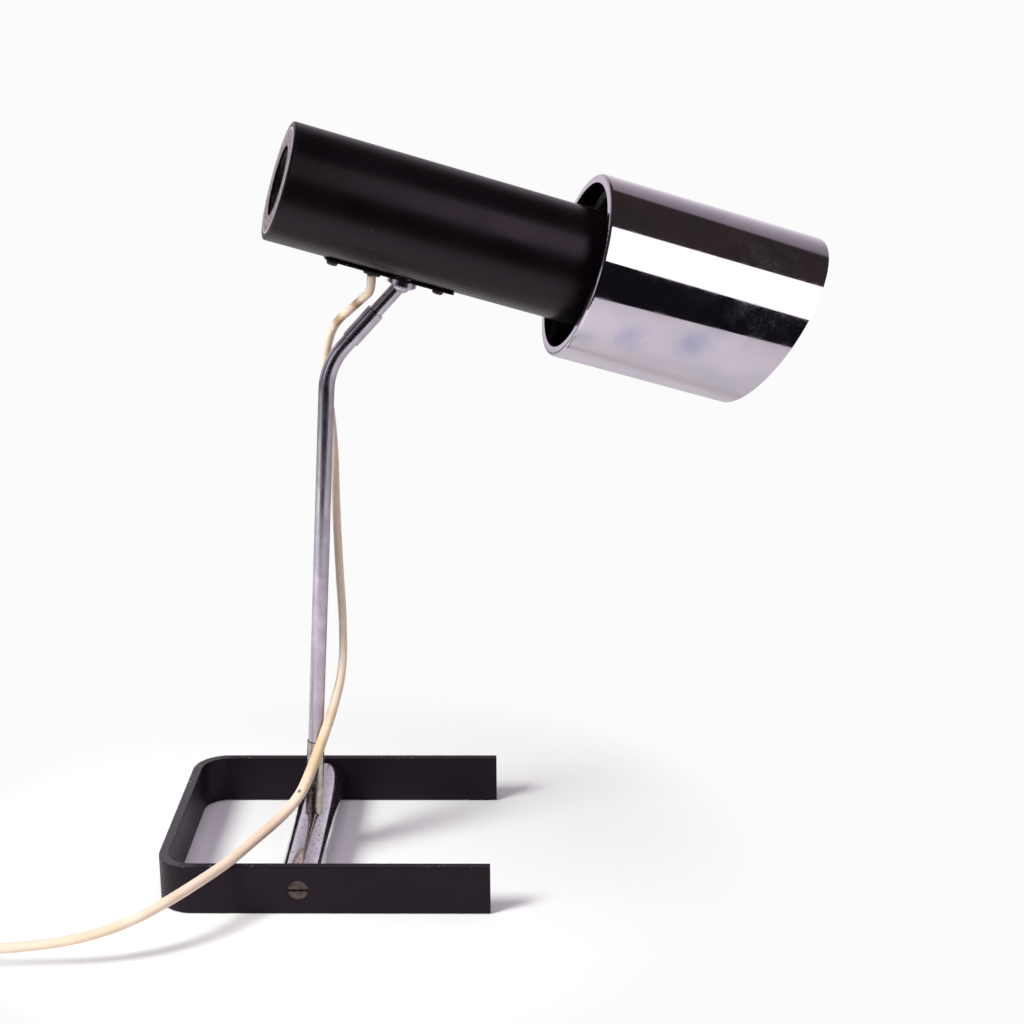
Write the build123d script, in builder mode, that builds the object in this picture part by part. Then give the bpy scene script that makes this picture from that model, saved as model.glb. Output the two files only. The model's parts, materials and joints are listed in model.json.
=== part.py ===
from build123d import *
import math
import os

os.makedirs("parts", exist_ok=True)

# Desk reading lamp: black bar base, tilting chromed stem, black tubular head with a chromed shade
# Millimetres and degrees, +X towards the open end of the base, +Y to the far arm, +Z up
# The origin is on the table, under the middle of the closed end of the base bow

# Base bow, one flat bar bent on its edge, and the thin pads under it
bar_height = 25.0
bar_thickness = 5.0
base_width = 138.0
arm_reach = 165.5
bow_corner_radius = 18.0
bar_edge_break = 0.5
pad_height = 0.6
pad_width = 3.6
rear_pad_length = 30.0
arm_pad_length = 12.0
arm_pad_setback = 10.0

# Tilting cross bar on its two screws
pivot_x = 69.5
cross_bar_diameter = 22.0
cross_bar_edge_break = 0.8
washer_diameter = 18.0
washer_thickness = 1.0
turning_gap = 0.2
pivot_thread = 5.0
pivot_head_diameter = 10.2
pivot_screw_length = 18.0
pivot_slot_width = 1.2
pivot_slot_depth = 1.3
thread_gap = 0.05
shank_gap = 0.3

# Stem: straight leg up to the bend's corner, upper leg from there to the ball
stem_diameter = 8.0
stem_lean = 3.6
stem_leg = 252.8
stem_bend = 39.2
stem_bend_radius = 35.0
upper_leg = 55.7
stem_socket_depth = 7.0
sleeve_diameter = 9.2
foot_sleeve_below = 1.0
foot_sleeve_above = 51.5
top_sleeve_start = 17.6
top_sleeve_length = 19.0
rod_end = 27.0
foot_grub_diameter = 4.0
foot_grub_length = 5.5
grub_slot_width = 0.7

# Ball stud that swivels in the top sleeve
ball_diameter = 10.0
spigot_diameter = 7.0
spigot_end = 27.7
swivel_gap = 0.05

# Direction of the head and its place over the ball
head_tilt = 17.7
head_yaw = 12.3
ball_drop = 2.8

# Head tube, its rear ring and the strip under it
tube_diameter = 58.0
tube_wall = 1.5
tube_rear = -68.9
tube_front = 91.0
ring_thickness = 2.5
ring_rounding = 1.2
ring_face = 1.2
ring_spigot = 6.0
ring_spigot_wall = 2.0
vent_diameter = 34.0
strip_rear = -39.8
strip_front = 25.7
strip_width = 14.0
strip_thickness = 1.0
strip_corner = 3.0
rear_screw_at = -35.6
front_screw_at = 18.4
plate_screw_diameter = 3.0
plate_head_diameter = 5.6
plate_head_height = 2.3

# Ball socket with its plug and nut
socket_diameter = 14.6
socket_rounding = 1.0
socket_lip = 1.7
socket_slot_depth = 1.0
socket_slot_gap = 0.4
socket_neck_diameter = 12.0
socket_rise = 13.0
socket_bore_gap = 0.08
socket_nut_width = 17.0
socket_nut_thickness = 3.0
plug_disc_thickness = 3.0
ball_top_gap = 0.1

# Bracket inside the tube
bracket_width = 16.0
bracket_thickness = 2.0
bracket_rear = -43.0
bracket_front = 34.0
bracket_top = 11.0
seat_gap = 0.05

# Cord gland and the parts of the wiring inside
gland_at = -15.5
gland_flange_diameter = 9.0
gland_flange_height = 1.6
gland_flange_taper = 12.0
gland_neck_diameter = 7.6
gland_inner_flange_diameter = 9.0
gland_inner_flange_height = 0.7
gland_bore = 4.4
block_rear = -33.0
block_front = -22.6
block_width = 16.0
block_height = 13.0
block_screw_diameter = 3.6
block_screw_height = 1.0
block_screw_spacing = 7.6
inner_cord_diameter = 4.3
inner_cord_bend = 4.0
lead_diameter = 1.8
lead_spacing = 7.6
lead_spacing_at_nipple = 2.6

# Lampholder on its hollow nipple
nipple_diameter = 10.0
nipple_bore = 6.6
nipple_rear = 25.0
nipple_front = 47.0
nipple_nut_width = 14.0
nipple_nut_thickness = 3.0
cap_neck_diameter = 16.0
cap_diameter = 37.0
cap_shoulder_at = 45.0
cap_front = 58.0
cap_wall = 2.0
insert_rear = 52.0
insert_front = 61.0
insert_diameter = 32.6
contact_width = 7.0
contact_thickness = 0.6
centre_contact_at = 62.0
side_contact_width = 3.0
side_contact_thickness = 0.3
side_contact_foot = 4.0
side_contact_reach = 7.0
shell_front = 99.5
shell_diameter = 38.6
shell_collar_diameter = 44.0
shell_collar_thickness = 3.0
shell_bore = 27.4

# Shade on its three-armed carrier
shade_diameter = 93.0
shade_wall = 1.0
shade_rear = 81.2
shade_cut_at = 187.8
shade_cut_angle = 15.0
shade_rim_radius = 1.5
shade_mouth_diameter = 84.0
carrier_at = 93.0
carrier_thickness = 1.2
carrier_hub_width = 4.0
carrier_rim_width = 3.0
carrier_rim_depth = 5.0
carrier_arm_width = 9.0
shade_ring_thickness = 5.0
shade_ring_width = 3.6

# Bulb
bulb_cap_diameter = 26.4
bulb_cap_rear = 65.0
bulb_cap_front = 88.0
bulb_cap_wall = 0.8
bulb_contact_diameter = 9.0
bulb_diameter = 60.0
bulb_length = 105.0
bulb_shoulder_turn = 38.0
bulb_glass_wall = 0.8

# Cord
cord_diameter = 6.0

# In-line switch and plug
switch_length = 58.0
switch_width = 27.0
switch_height = 18.1
switch_entry_x = -90.0
switch_y = -122.0
switch_wall = 2.0
switch_end_wall = 5.0
switch_corner = 8.0
switch_edge = 2.5
rocker_length = 17.0
rocker_width = 9.0
rocker_gap = 0.4
rocker_tip = 7.0
rocker_stand = 1.6
rocker_axis_drop = 5.0
rocker_pin_diameter = 2.4
rocker_pin_length = 1.6
rocker_cheek_length = 6.0
switch_screw_diameter = 5.0
switch_screw_height = 1.2
plug_length = 36.0
plug_width = 35.3
plug_thickness = 13.7
plug_waist = 13.0
plug_relief_length = 14.0
plug_relief_diameter = 9.0
plug_edge = 1.5
pin_diameter = 4.0
pin_length = 19.0
pin_spacing = 18.6
pin_tail_diameter = 3.0
pin_tail_length = 9.5

# Coil of the cord's unseen length
coil_centre_x = -205.0
coil_radius = 42.0
coil_pitch = 6.8
coil_layer = 6.55
coil_half_turns = 5
coil_inner_step = 1.5
cord_straight = 12.0
switch_tail_sway = 1.2
plug_tail_run = 14.8
plug_tail_turn = 30.0
floor_gap = 0.05

# Places and directions worked out from the sizes above
bar_z = pad_height + bar_height / 2
arm_inner_y = base_width / 2 - bar_thickness
cross_bar_length = 2 * (arm_inner_y - washer_thickness - turning_gap)
pivot = Vector(pivot_x, 0, bar_z)
lower_dir = Vector(math.sin(math.radians(stem_lean)), 0, math.cos(math.radians(stem_lean)))
upper_angle = math.radians(stem_lean + stem_bend)
upper_dir = Vector(math.sin(upper_angle), 0, math.cos(upper_angle))
bend_corner = pivot + lower_dir * stem_leg
ball_centre = bend_corner + upper_dir * upper_leg

tilt = math.radians(head_tilt)
yaw = math.radians(head_yaw)
head_dir = Vector(math.cos(tilt) * math.cos(yaw), math.cos(tilt) * math.sin(yaw), -math.sin(tilt))
head_side = Vector(-math.sin(yaw), math.cos(yaw), 0)
head_up = head_dir.cross(head_side)
tube_radius = tube_diameter / 2
tube_centre = ball_centre + head_up * (ball_drop + tube_radius)
tube_axis = Axis(tube_centre, head_dir)
tube_mid = Plane(origin=tube_centre, x_dir=head_dir, z_dir=-head_side)
strip_bottom = ball_drop - strip_thickness
bore_radius = tube_radius - tube_wall
strip_half = bracket_width / 2
bracket_sagitta = bore_radius - math.sqrt(bore_radius**2 - strip_half**2)
bracket_bottom = ball_drop + tube_wall + bracket_sagitta + seat_gap
bracket_floor = bracket_bottom + bracket_thickness
tube_axis_height = ball_drop + tube_radius


def across(point, direction):
    """Plane through a point, square to a direction, with its x axis in the lamp's middle plane."""
    return Plane(origin=point, x_dir=Vector(0, 1, 0).cross(direction), z_dir=direction)


def head_point(along, rise, aside=0.0):
    """Place in the head: along its axis and up from the ball's centre, and to its far side."""
    return ball_centre + head_dir * along + head_up * rise + head_side * aside


def head_level(along, rise, aside=0.0):
    """Plane parallel to the strip under the head, its x axis along the head."""
    return Plane(origin=head_point(along, rise, aside), x_dir=head_dir, z_dir=head_up)


def head_square(along):
    """Plane square to the tube's axis at a place along it, its y axis upwards."""
    return Plane(origin=tube_centre + head_dir * along, x_dir=head_side, z_dir=head_dir)


def save(builder, label):
    """Label a finished piece and write it to its own file."""
    builder.part.label = label
    export_step(builder.part, f"parts/{label}.step")


# Base bow: a U of flat bar standing on its edge
with BuildPart() as base_bow:
    with BuildSketch(Plane.XY.offset(pad_height)) as bow_outline:
        with Locations((arm_reach, 0)):
            Rectangle(
                2 * (arm_reach + bar_thickness / 2), base_width, align=(Align.CENTER, Align.CENTER)
            )
        fillet(bow_outline.vertices().group_by(Axis.X)[0], bow_corner_radius)
        offset(amount=-bar_thickness, mode=Mode.SUBTRACT)
        with Locations((arm_reach, 0)):
            Rectangle(
                4 * arm_reach, 2 * base_width, align=(Align.MIN, Align.CENTER), mode=Mode.SUBTRACT
            )
    extrude(amount=bar_height)
    fillet(base_bow.faces().group_by(Axis.Z)[-1].edges(), bar_edge_break)
    for side_sign in (-1, 1):
        outer_face = Plane(
            origin=(pivot_x, side_sign * base_width / 2, bar_z), x_dir=(1, 0, 0), z_dir=(0, side_sign, 0)
        )
        with Locations(outer_face):
            CounterSinkHole(
                radius=pivot_thread / 2 + shank_gap,
                counter_sink_radius=pivot_head_diameter / 2 + shank_gap,
                depth=bar_thickness,
                counter_sink_angle=90,
            )
save(base_bow, "base_bow")

# Base pads: one under the closed end and one near each arm end
with BuildPart() as base_pads:
    with BuildSketch():
        RectangleRounded(pad_width, rear_pad_length, pad_width / 3)
        with Locations(
            (arm_reach - arm_pad_setback, base_width / 2 - bar_thickness / 2),
            (arm_reach - arm_pad_setback, -base_width / 2 + bar_thickness / 2),
        ):
            RectangleRounded(arm_pad_length, pad_width, pad_width / 3)
    extrude(amount=pad_height)
save(base_pads, "base_pads")

# Friction washers between the cross bar and the arms
with BuildPart() as friction_washers:
    for side_sign in (-1, 1):
        inner_face = Plane(
            origin=(pivot_x, side_sign * arm_inner_y, bar_z), x_dir=(1, 0, 0), z_dir=(0, -side_sign, 0)
        )
        with BuildSketch(inner_face):
            Circle(washer_diameter / 2)
            Circle(pivot_thread / 2 + shank_gap, mode=Mode.SUBTRACT)
        extrude(amount=washer_thickness)
save(friction_washers, "friction_washers")

# Cross bar: round bar with tapped ends and the socket for the stem's foot
with BuildPart() as cross_bar:
    with BuildSketch(
        Plane(origin=(pivot_x, -cross_bar_length / 2, bar_z), x_dir=(1, 0, 0), z_dir=(0, 1, 0))
    ):
        Circle(cross_bar_diameter / 2)
    extrude(amount=cross_bar_length)
    chamfer(cross_bar.edges().filter_by(GeomType.CIRCLE), cross_bar_edge_break)
    tapped_depth = pivot_screw_length - bar_thickness - washer_thickness
    for side_sign in (-1, 1):
        with BuildSketch(
            Plane(
                origin=(pivot_x, side_sign * cross_bar_length / 2, bar_z),
                x_dir=(1, 0, 0),
                z_dir=(0, -side_sign, 0),
            )
        ):
            Circle(pivot_thread / 2 + thread_gap)
        extrude(amount=tapped_depth, mode=Mode.SUBTRACT)
    with BuildSketch(across(pivot + lower_dir * foot_sleeve_below, lower_dir)):
        Circle(sleeve_diameter / 2 + thread_gap)
    extrude(amount=cross_bar_diameter, mode=Mode.SUBTRACT)
    with BuildSketch(across(pivot - lower_dir * stem_socket_depth, lower_dir)):
        Circle(stem_diameter / 2 + thread_gap)
    extrude(amount=cross_bar_diameter, mode=Mode.SUBTRACT)
    grub_dir = Vector(0, 1, 0).cross(lower_dir)
    grub_seat = pivot - lower_dir * (stem_socket_depth / 2)
    with BuildSketch(across(grub_seat, -grub_dir)):
        Circle(foot_grub_diameter / 2 + thread_gap)
    extrude(amount=cross_bar_diameter, mode=Mode.SUBTRACT)
save(cross_bar, "cross_bar")

# Pivot screws: slotted countersunk screws through the arms into the ends of the cross bar
with BuildPart() as pivot_screws:
    head_depth = (pivot_head_diameter - pivot_thread) / 2
    for side_sign in (-1, 1):
        screw_face = Plane(
            origin=(pivot_x, side_sign * base_width / 2, bar_z), x_dir=(1, 0, 0), z_dir=(0, side_sign, 0)
        )
        with BuildSketch(screw_face):
            Circle(pivot_head_diameter / 2)
        with BuildSketch(screw_face.offset(-head_depth)):
            Circle(pivot_thread / 2)
        loft()
        with BuildSketch(screw_face.offset(-head_depth)):
            Circle(pivot_thread / 2)
        extrude(amount=-(pivot_screw_length - head_depth))
        with BuildSketch(screw_face):
            Rectangle(2 * pivot_head_diameter, pivot_slot_width)
        extrude(amount=-pivot_slot_depth, mode=Mode.SUBTRACT)
save(pivot_screws, "pivot_screws")

# Grub screw that holds the stem's foot
with BuildPart() as foot_grub_screw:
    grub_start = grub_seat - grub_dir * (stem_diameter / 2 + thread_gap)
    with BuildSketch(across(grub_start, -grub_dir)):
        Circle(foot_grub_diameter / 2)
    extrude(amount=foot_grub_length)
    with BuildSketch(across(grub_start - grub_dir * foot_grub_length, -grub_dir)):
        Rectangle(grub_slot_width, 2 * foot_grub_diameter)
    extrude(amount=-grub_slot_width, mode=Mode.SUBTRACT)
save(foot_grub_screw, "foot_grub_screw")

# Stem rod: straight leg, bend and upper leg
with BuildPart() as stem_rod:
    stem_foot = pivot - lower_dir * stem_socket_depth
    with BuildLine():
        FilletPolyline(
            stem_foot, bend_corner, bend_corner + upper_dir * rod_end, radius=stem_bend_radius
        )
    with BuildSketch(across(stem_foot, lower_dir)):
        Circle(stem_diameter / 2)
    sweep()
save(stem_rod, "stem_rod")

# Foot sleeve, pushed over the rod and down into the cross bar
with BuildPart() as foot_sleeve:
    with BuildSketch(across(pivot + lower_dir * foot_sleeve_below, lower_dir)):
        Circle(sleeve_diameter / 2)
        Circle(stem_diameter / 2 + seat_gap, mode=Mode.SUBTRACT)
    extrude(amount=foot_sleeve_above - foot_sleeve_below)
    chamfer(foot_sleeve.edges().group_by(Axis.Z)[-1], (sleeve_diameter - stem_diameter) / 6)
save(foot_sleeve, "foot_sleeve")

# Top sleeve: the rod ends in it from below and the ball stud turns in it from above
with BuildPart() as top_sleeve:
    with BuildSketch(across(bend_corner + upper_dir * top_sleeve_start, upper_dir)):
        Circle(sleeve_diameter / 2)
        Circle(stem_diameter / 2 + seat_gap, mode=Mode.SUBTRACT)
    extrude(amount=rod_end - top_sleeve_start)
    with BuildSketch(across(bend_corner + upper_dir * rod_end, upper_dir)):
        Circle(sleeve_diameter / 2)
        Circle(spigot_diameter / 2 + swivel_gap, mode=Mode.SUBTRACT)
    extrude(amount=top_sleeve_start + top_sleeve_length - rod_end)
save(top_sleeve, "top_sleeve")

# Ball stud: ball on the end of a spigot
with BuildPart() as ball_stud:
    ball_radius = ball_diameter / 2
    spigot_radius = spigot_diameter / 2
    spigot_start = math.sqrt(ball_radius**2 - spigot_radius**2)
    spigot_break = spigot_radius / 8
    with BuildSketch(Plane(origin=ball_centre, x_dir=-upper_dir, z_dir=(0, -1, 0))):
        with BuildLine():
            ThreePointArc((-ball_radius, 0), (0, ball_radius), (spigot_start, spigot_radius))
            Polyline(
                (spigot_start, spigot_radius),
                (spigot_end - spigot_break, spigot_radius),
                (spigot_end, spigot_radius - spigot_break),
                (spigot_end, 0),
                (-ball_radius, 0),
            )
        make_face()
    revolve(axis=Axis(ball_centre, upper_dir))
save(ball_stud, "ball_stud")

# Ball socket: slotted cup under the strip, its neck through the strip, the tube and the bracket
socket_mid = Plane(origin=ball_centre, x_dir=head_dir, z_dir=-head_side)
socket_axis = Axis(ball_centre, head_up)
cavity_radius = ball_radius + socket_bore_gap
with BuildPart() as ball_socket:
    lip_radius = math.sqrt(cavity_radius**2 - socket_lip**2)
    socket_radius = socket_diameter / 2
    socket_neck_radius = socket_neck_diameter / 2
    with BuildSketch(socket_mid):
        with BuildLine():
            lip_turn = math.atan2(-socket_lip, lip_radius) / 2
            ThreePointArc(
                (lip_radius, -socket_lip),
                (cavity_radius * math.cos(lip_turn), cavity_radius * math.sin(lip_turn)),
                (cavity_radius, 0),
            )
            Polyline(
                (cavity_radius, 0),
                (cavity_radius, socket_rise),
                (socket_neck_radius, socket_rise),
                (socket_neck_radius, strip_bottom),
                (socket_radius, strip_bottom),
                (socket_radius, -socket_lip + socket_rounding),
                (socket_radius - socket_rounding, -socket_lip),
                (lip_radius, -socket_lip),
            )
        make_face()
    revolve(axis=socket_axis)
    with BuildSketch(head_level(0, -socket_lip)):
        Rectangle(socket_diameter, spigot_diameter + 2 * socket_slot_gap)
    extrude(amount=socket_slot_depth, mode=Mode.SUBTRACT)
save(ball_socket, "ball_socket")

# Plug that closes the socket over the ball
with BuildPart() as socket_plug:
    with BuildSketch(head_level(0, ball_radius + ball_top_gap)):
        Circle(cavity_radius - seat_gap)
    extrude(amount=plug_disc_thickness)
    with BuildSketch(head_level(0, ball_radius + ball_top_gap + plug_disc_thickness)):
        Rectangle(2 * cavity_radius, grub_slot_width)
    extrude(amount=-plug_disc_thickness / 3, mode=Mode.SUBTRACT)
save(socket_plug, "socket_plug")

# Hexagon nut on the socket's neck, inside the tube
with BuildPart() as socket_nut:
    with BuildSketch(head_level(0, bracket_floor)):
        RegularPolygon(socket_nut_width / 2, 6, major_radius=False)
        Circle(socket_neck_radius + thread_gap, mode=Mode.SUBTRACT)
    extrude(amount=socket_nut_thickness)
save(socket_nut, "socket_nut")

# Strip under the head
neck_hole_radius = socket_neck_radius + thread_gap
gland_hole_radius = gland_neck_diameter / 2 + seat_gap
screw_hole_radius = plate_screw_diameter / 2 + seat_gap
with BuildPart() as underside_plate:
    with BuildSketch(head_level(0, strip_bottom)):
        with Locations(((strip_rear + strip_front) / 2, 0)):
            RectangleRounded(strip_front - strip_rear, strip_width, strip_corner)
        Circle(neck_hole_radius, mode=Mode.SUBTRACT)
        with Locations((gland_at, 0)):
            Circle(gland_hole_radius, mode=Mode.SUBTRACT)
        with Locations((rear_screw_at, 0), (front_screw_at, 0)):
            Circle(screw_hole_radius, mode=Mode.SUBTRACT)
    extrude(amount=strip_thickness)
save(underside_plate, "underside_plate")

# Pan-head screws through the strip and the tube into the bracket
with BuildPart() as plate_screws:
    for place in (rear_screw_at, front_screw_at):
        with BuildSketch(head_level(place, strip_bottom)):
            Circle(plate_head_diameter / 2)
        extrude(amount=-plate_head_height)
        with BuildSketch(head_level(place, strip_bottom)):
            Circle(plate_screw_diameter / 2)
        extrude(amount=bracket_floor - strip_bottom)
    fillet(
        plate_screws.edges().filter_by(GeomType.CIRCLE).group_by(Axis(ball_centre, head_up))[0],
        plate_head_height / 2,
    )
    for place in (rear_screw_at, front_screw_at):
        with BuildSketch(head_level(place, strip_bottom - plate_head_height)):
            Rectangle(2 * plate_head_diameter, grub_slot_width)
        extrude(amount=plate_head_height / 2, mode=Mode.SUBTRACT)
save(plate_screws, "plate_screws")

# Bracket inside the tube: strip with tapped holes and an upturned tab for the nipple
with BuildPart() as inner_bracket:
    tab_top = tube_axis_height + bracket_top
    with BuildSketch(socket_mid.offset(-bracket_width / 2)):
        with BuildLine():
            Polyline(
                (bracket_rear, bracket_bottom),
                (bracket_front, bracket_bottom),
                (bracket_front, tab_top),
                (bracket_front - bracket_thickness, tab_top),
                (bracket_front - bracket_thickness, bracket_floor),
                (bracket_rear, bracket_floor),
                close=True,
            )
        make_face()
    extrude(amount=bracket_width)
    with BuildSketch(head_level(0, bracket_bottom)):
        Circle(neck_hole_radius)
        with Locations((gland_at, 0)):
            Circle(gland_inner_flange_diameter / 2 + seat_gap)
        with Locations((rear_screw_at, 0), (front_screw_at, 0)):
            Circle(screw_hole_radius)
    extrude(amount=bracket_thickness, mode=Mode.SUBTRACT)
    with BuildSketch(head_square(bracket_front)):
        Circle(nipple_diameter / 2 + thread_gap)
    extrude(amount=-bracket_thickness, mode=Mode.SUBTRACT)
save(inner_bracket, "inner_bracket")

# Head tube with the holes in its underside
with BuildPart() as head_tube:
    with BuildSketch(head_square(tube_rear)):
        Circle(tube_radius)
        Circle(bore_radius, mode=Mode.SUBTRACT)
    extrude(amount=tube_front - tube_rear)
    with BuildSketch(head_level(0, strip_bottom)):
        Circle(neck_hole_radius)
        with Locations((gland_at, 0)):
            Circle(gland_hole_radius)
        with Locations((rear_screw_at, 0), (front_screw_at, 0)):
            Circle(screw_hole_radius)
    extrude(amount=tube_radius, mode=Mode.SUBTRACT)
save(head_tube, "head_tube")

# Rear ring with its vent hole and the spigot that sits in the tube
with BuildPart() as rear_ring:
    ring_rear = tube_rear - ring_thickness
    spigot_outer = bore_radius - seat_gap
    with BuildSketch(tube_mid):
        with BuildLine():
            Polyline(
                (ring_rear + ring_rounding, tube_radius),
                (tube_rear, tube_radius),
                (tube_rear, spigot_outer),
                (tube_rear + ring_spigot, spigot_outer),
                (tube_rear + ring_spigot, spigot_outer - ring_spigot_wall),
                (ring_rear + ring_face, spigot_outer - ring_spigot_wall),
                (ring_rear + ring_face, vent_diameter / 2),
                (ring_rear, vent_diameter / 2),
                (ring_rear, tube_radius - ring_rounding),
            )
            RadiusArc(
                (ring_rear, tube_radius - ring_rounding),
                (ring_rear + ring_rounding, tube_radius),
                ring_rounding,
            )
        make_face()
    revolve(axis=tube_axis)
save(rear_ring, "rear_ring")

# Cord gland: flanged grommet through the strip and the tube's wall
with BuildPart() as cord_gland:
    gland_neck_top = ball_drop + tube_wall + bracket_sagitta / 2
    with BuildSketch(head_level(gland_at, strip_bottom)):
        Circle(gland_flange_diameter / 2)
    extrude(amount=-gland_flange_height, taper=gland_flange_taper)
    with BuildSketch(head_level(gland_at, strip_bottom)):
        Circle(gland_neck_diameter / 2)
    extrude(amount=gland_neck_top - strip_bottom)
    with BuildSketch(head_level(gland_at, gland_neck_top)):
        Circle(gland_inner_flange_diameter / 2)
    extrude(amount=gland_inner_flange_height)
    with BuildSketch(head_level(gland_at, strip_bottom - gland_flange_height)):
        Circle(gland_bore / 2)
    extrude(amount=tube_radius, mode=Mode.SUBTRACT)
save(cord_gland, "cord_gland")

# Terminal block on the bracket, with its two clamping screws
block_mid = (block_rear + block_front) / 2
with BuildPart() as terminal_block:
    with BuildSketch(head_level(block_mid, bracket_floor)):
        Rectangle(block_front - block_rear, block_width)
    extrude(amount=block_height)
    fillet(terminal_block.edges().filter_by(Axis(ball_centre, head_up)), block_screw_height)
    with BuildSketch(head_level(block_mid, bracket_floor + block_height)):
        Rectangle(block_screw_diameter, block_width)
    extrude(amount=-block_screw_height, mode=Mode.SUBTRACT)
save(terminal_block, "terminal_block")

with BuildPart() as terminal_screws:
    groove_floor = bracket_floor + block_height - block_screw_height
    for side_sign in (-1, 1):
        with BuildSketch(head_level(block_mid, groove_floor, side_sign * block_screw_spacing / 2)):
            Circle(block_screw_diameter / 2 - seat_gap)
        extrude(amount=2 * block_screw_height)
save(terminal_screws, "terminal_screws")

# Cord's end inside the head, from the gland's mouth to the terminal block
block_entry_height = bracket_floor + block_height / 2
gland_mouth = strip_bottom - gland_flange_height
with BuildPart() as inner_cord:
    with BuildLine():
        FilletPolyline(
            head_point(gland_at, gland_mouth),
            head_point(gland_at, block_entry_height),
            head_point(block_front, block_entry_height),
            radius=inner_cord_bend,
        )
    with BuildSketch(head_level(gland_at, gland_mouth)):
        Circle(inner_cord_diameter / 2)
    sweep()
save(inner_cord, "inner_cord")

# Two leads from the terminal block into the nipple
with BuildPart() as inner_leads:
    for side_sign in (-1, 1):
        lead_out = side_sign * lead_spacing / 2
        lead_in = side_sign * lead_spacing_at_nipple / 2
        lead_rise = (bracket_floor + block_height + tube_axis_height) / 2
        lead_path = (
            (block_rear, block_entry_height, lead_out),
            (block_rear - 7 * lead_diameter / 2, block_entry_height, lead_out),
            (block_rear - 7 * lead_diameter / 2, lead_rise, lead_out),
            (nipple_rear - nipple_diameter, tube_axis_height, lead_in),
            (nipple_front, tube_axis_height, lead_in),
        )
        with BuildLine():
            FilletPolyline(
                *[head_point(*place) for place in lead_path],
                radius=[1.5 * lead_diameter, 1.5 * lead_diameter, 5 * lead_diameter],
            )
        with BuildSketch(Plane(origin=head_point(*lead_path[0]), x_dir=head_side, z_dir=-head_dir)):
            Circle(lead_diameter / 2)
        sweep()
save(inner_leads, "inner_leads")

# Hollow nipple and the nut behind the bracket's tab
with BuildPart() as holder_nipple:
    with BuildSketch(head_square(nipple_rear)):
        Circle(nipple_diameter / 2)
        Circle(nipple_bore / 2, mode=Mode.SUBTRACT)
    extrude(amount=nipple_front - nipple_rear)
save(holder_nipple, "holder_nipple")

with BuildPart() as nipple_nut:
    with BuildSketch(head_square(bracket_front - bracket_thickness)):
        RegularPolygon(nipple_nut_width / 2, 6, major_radius=False)
        Circle(nipple_diameter / 2 + thread_gap, mode=Mode.SUBTRACT)
    extrude(amount=-nipple_nut_thickness)
save(nipple_nut, "nipple_nut")

# Lampholder cap: bell on the nipple
with BuildPart() as holder_cap:
    cap_bore = nipple_diameter / 2 + thread_gap
    cap_inner = cap_diameter / 2 - cap_wall
    with BuildSketch(tube_mid):
        with BuildLine():
            Polyline(
                (bracket_front, cap_bore),
                (bracket_front, cap_neck_diameter / 2),
                (cap_shoulder_at - cap_wall * 2, cap_neck_diameter / 2),
                (cap_shoulder_at + cap_wall, cap_diameter / 2),
                (cap_front, cap_diameter / 2),
                (cap_front, cap_inner),
                (insert_rear, cap_inner),
                (insert_rear, cap_inner - cap_wall),
                (nipple_front, cap_bore),
                close=True,
            )
        make_face()
    revolve(axis=tube_axis)
save(holder_cap, "holder_cap")

# Ceramic insert with its central seat and the holes of its two fixing screws
with BuildPart() as holder_insert:
    with BuildSketch(head_square(insert_rear)):
        Circle(insert_diameter / 2)
        Circle(nipple_bore / 2, mode=Mode.SUBTRACT)
    extrude(amount=insert_front - insert_rear)
save(holder_insert, "holder_insert")

# Centre contact strip and the two side contacts on the insert
with BuildPart() as centre_contact:
    with BuildSketch(head_square(insert_front)):
        Rectangle(contact_width, 2 * contact_width)
    extrude(amount=contact_thickness)
    with BuildSketch(head_square(insert_front)):
        Circle(contact_width / 2)
    extrude(amount=centre_contact_at - insert_front)
save(centre_contact, "centre_contact")

with BuildPart() as side_contacts:
    contact_rise = bulb_cap_diameter / 2 + seat_gap
    for side_sign in (-1, 1):
        with BuildSketch(head_square(insert_front)):
            with Locations((side_sign * (contact_rise - side_contact_foot / 2), 0)):
                Rectangle(side_contact_foot, side_contact_width)
        extrude(amount=side_contact_thickness)
        with BuildSketch(head_square(insert_front)):
            with Locations((side_sign * (contact_rise + side_contact_thickness / 2), 0)):
                Rectangle(side_contact_thickness, side_contact_width)
        extrude(amount=side_contact_reach)
save(side_contacts, "side_contacts")

# Lampholder shell with the collar that the shade's carrier rests on
with BuildPart() as holder_shell:
    with BuildSketch(tube_mid):
        with BuildLine():
            Polyline(
                (cap_front, shell_diameter / 2),
                (carrier_at - shell_collar_thickness, shell_diameter / 2),
                (carrier_at - shell_collar_thickness, shell_collar_diameter / 2),
                (carrier_at, shell_collar_diameter / 2),
                (carrier_at, shell_diameter / 2),
                (shell_front, shell_diameter / 2),
                (shell_front, shell_bore / 2),
                (bulb_cap_rear, shell_bore / 2),
                (bulb_cap_rear, insert_diameter / 2 + seat_gap),
                (cap_front, insert_diameter / 2 + seat_gap),
                close=True,
            )
        make_face()
    revolve(axis=tube_axis)
save(holder_shell, "holder_shell")

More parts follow.
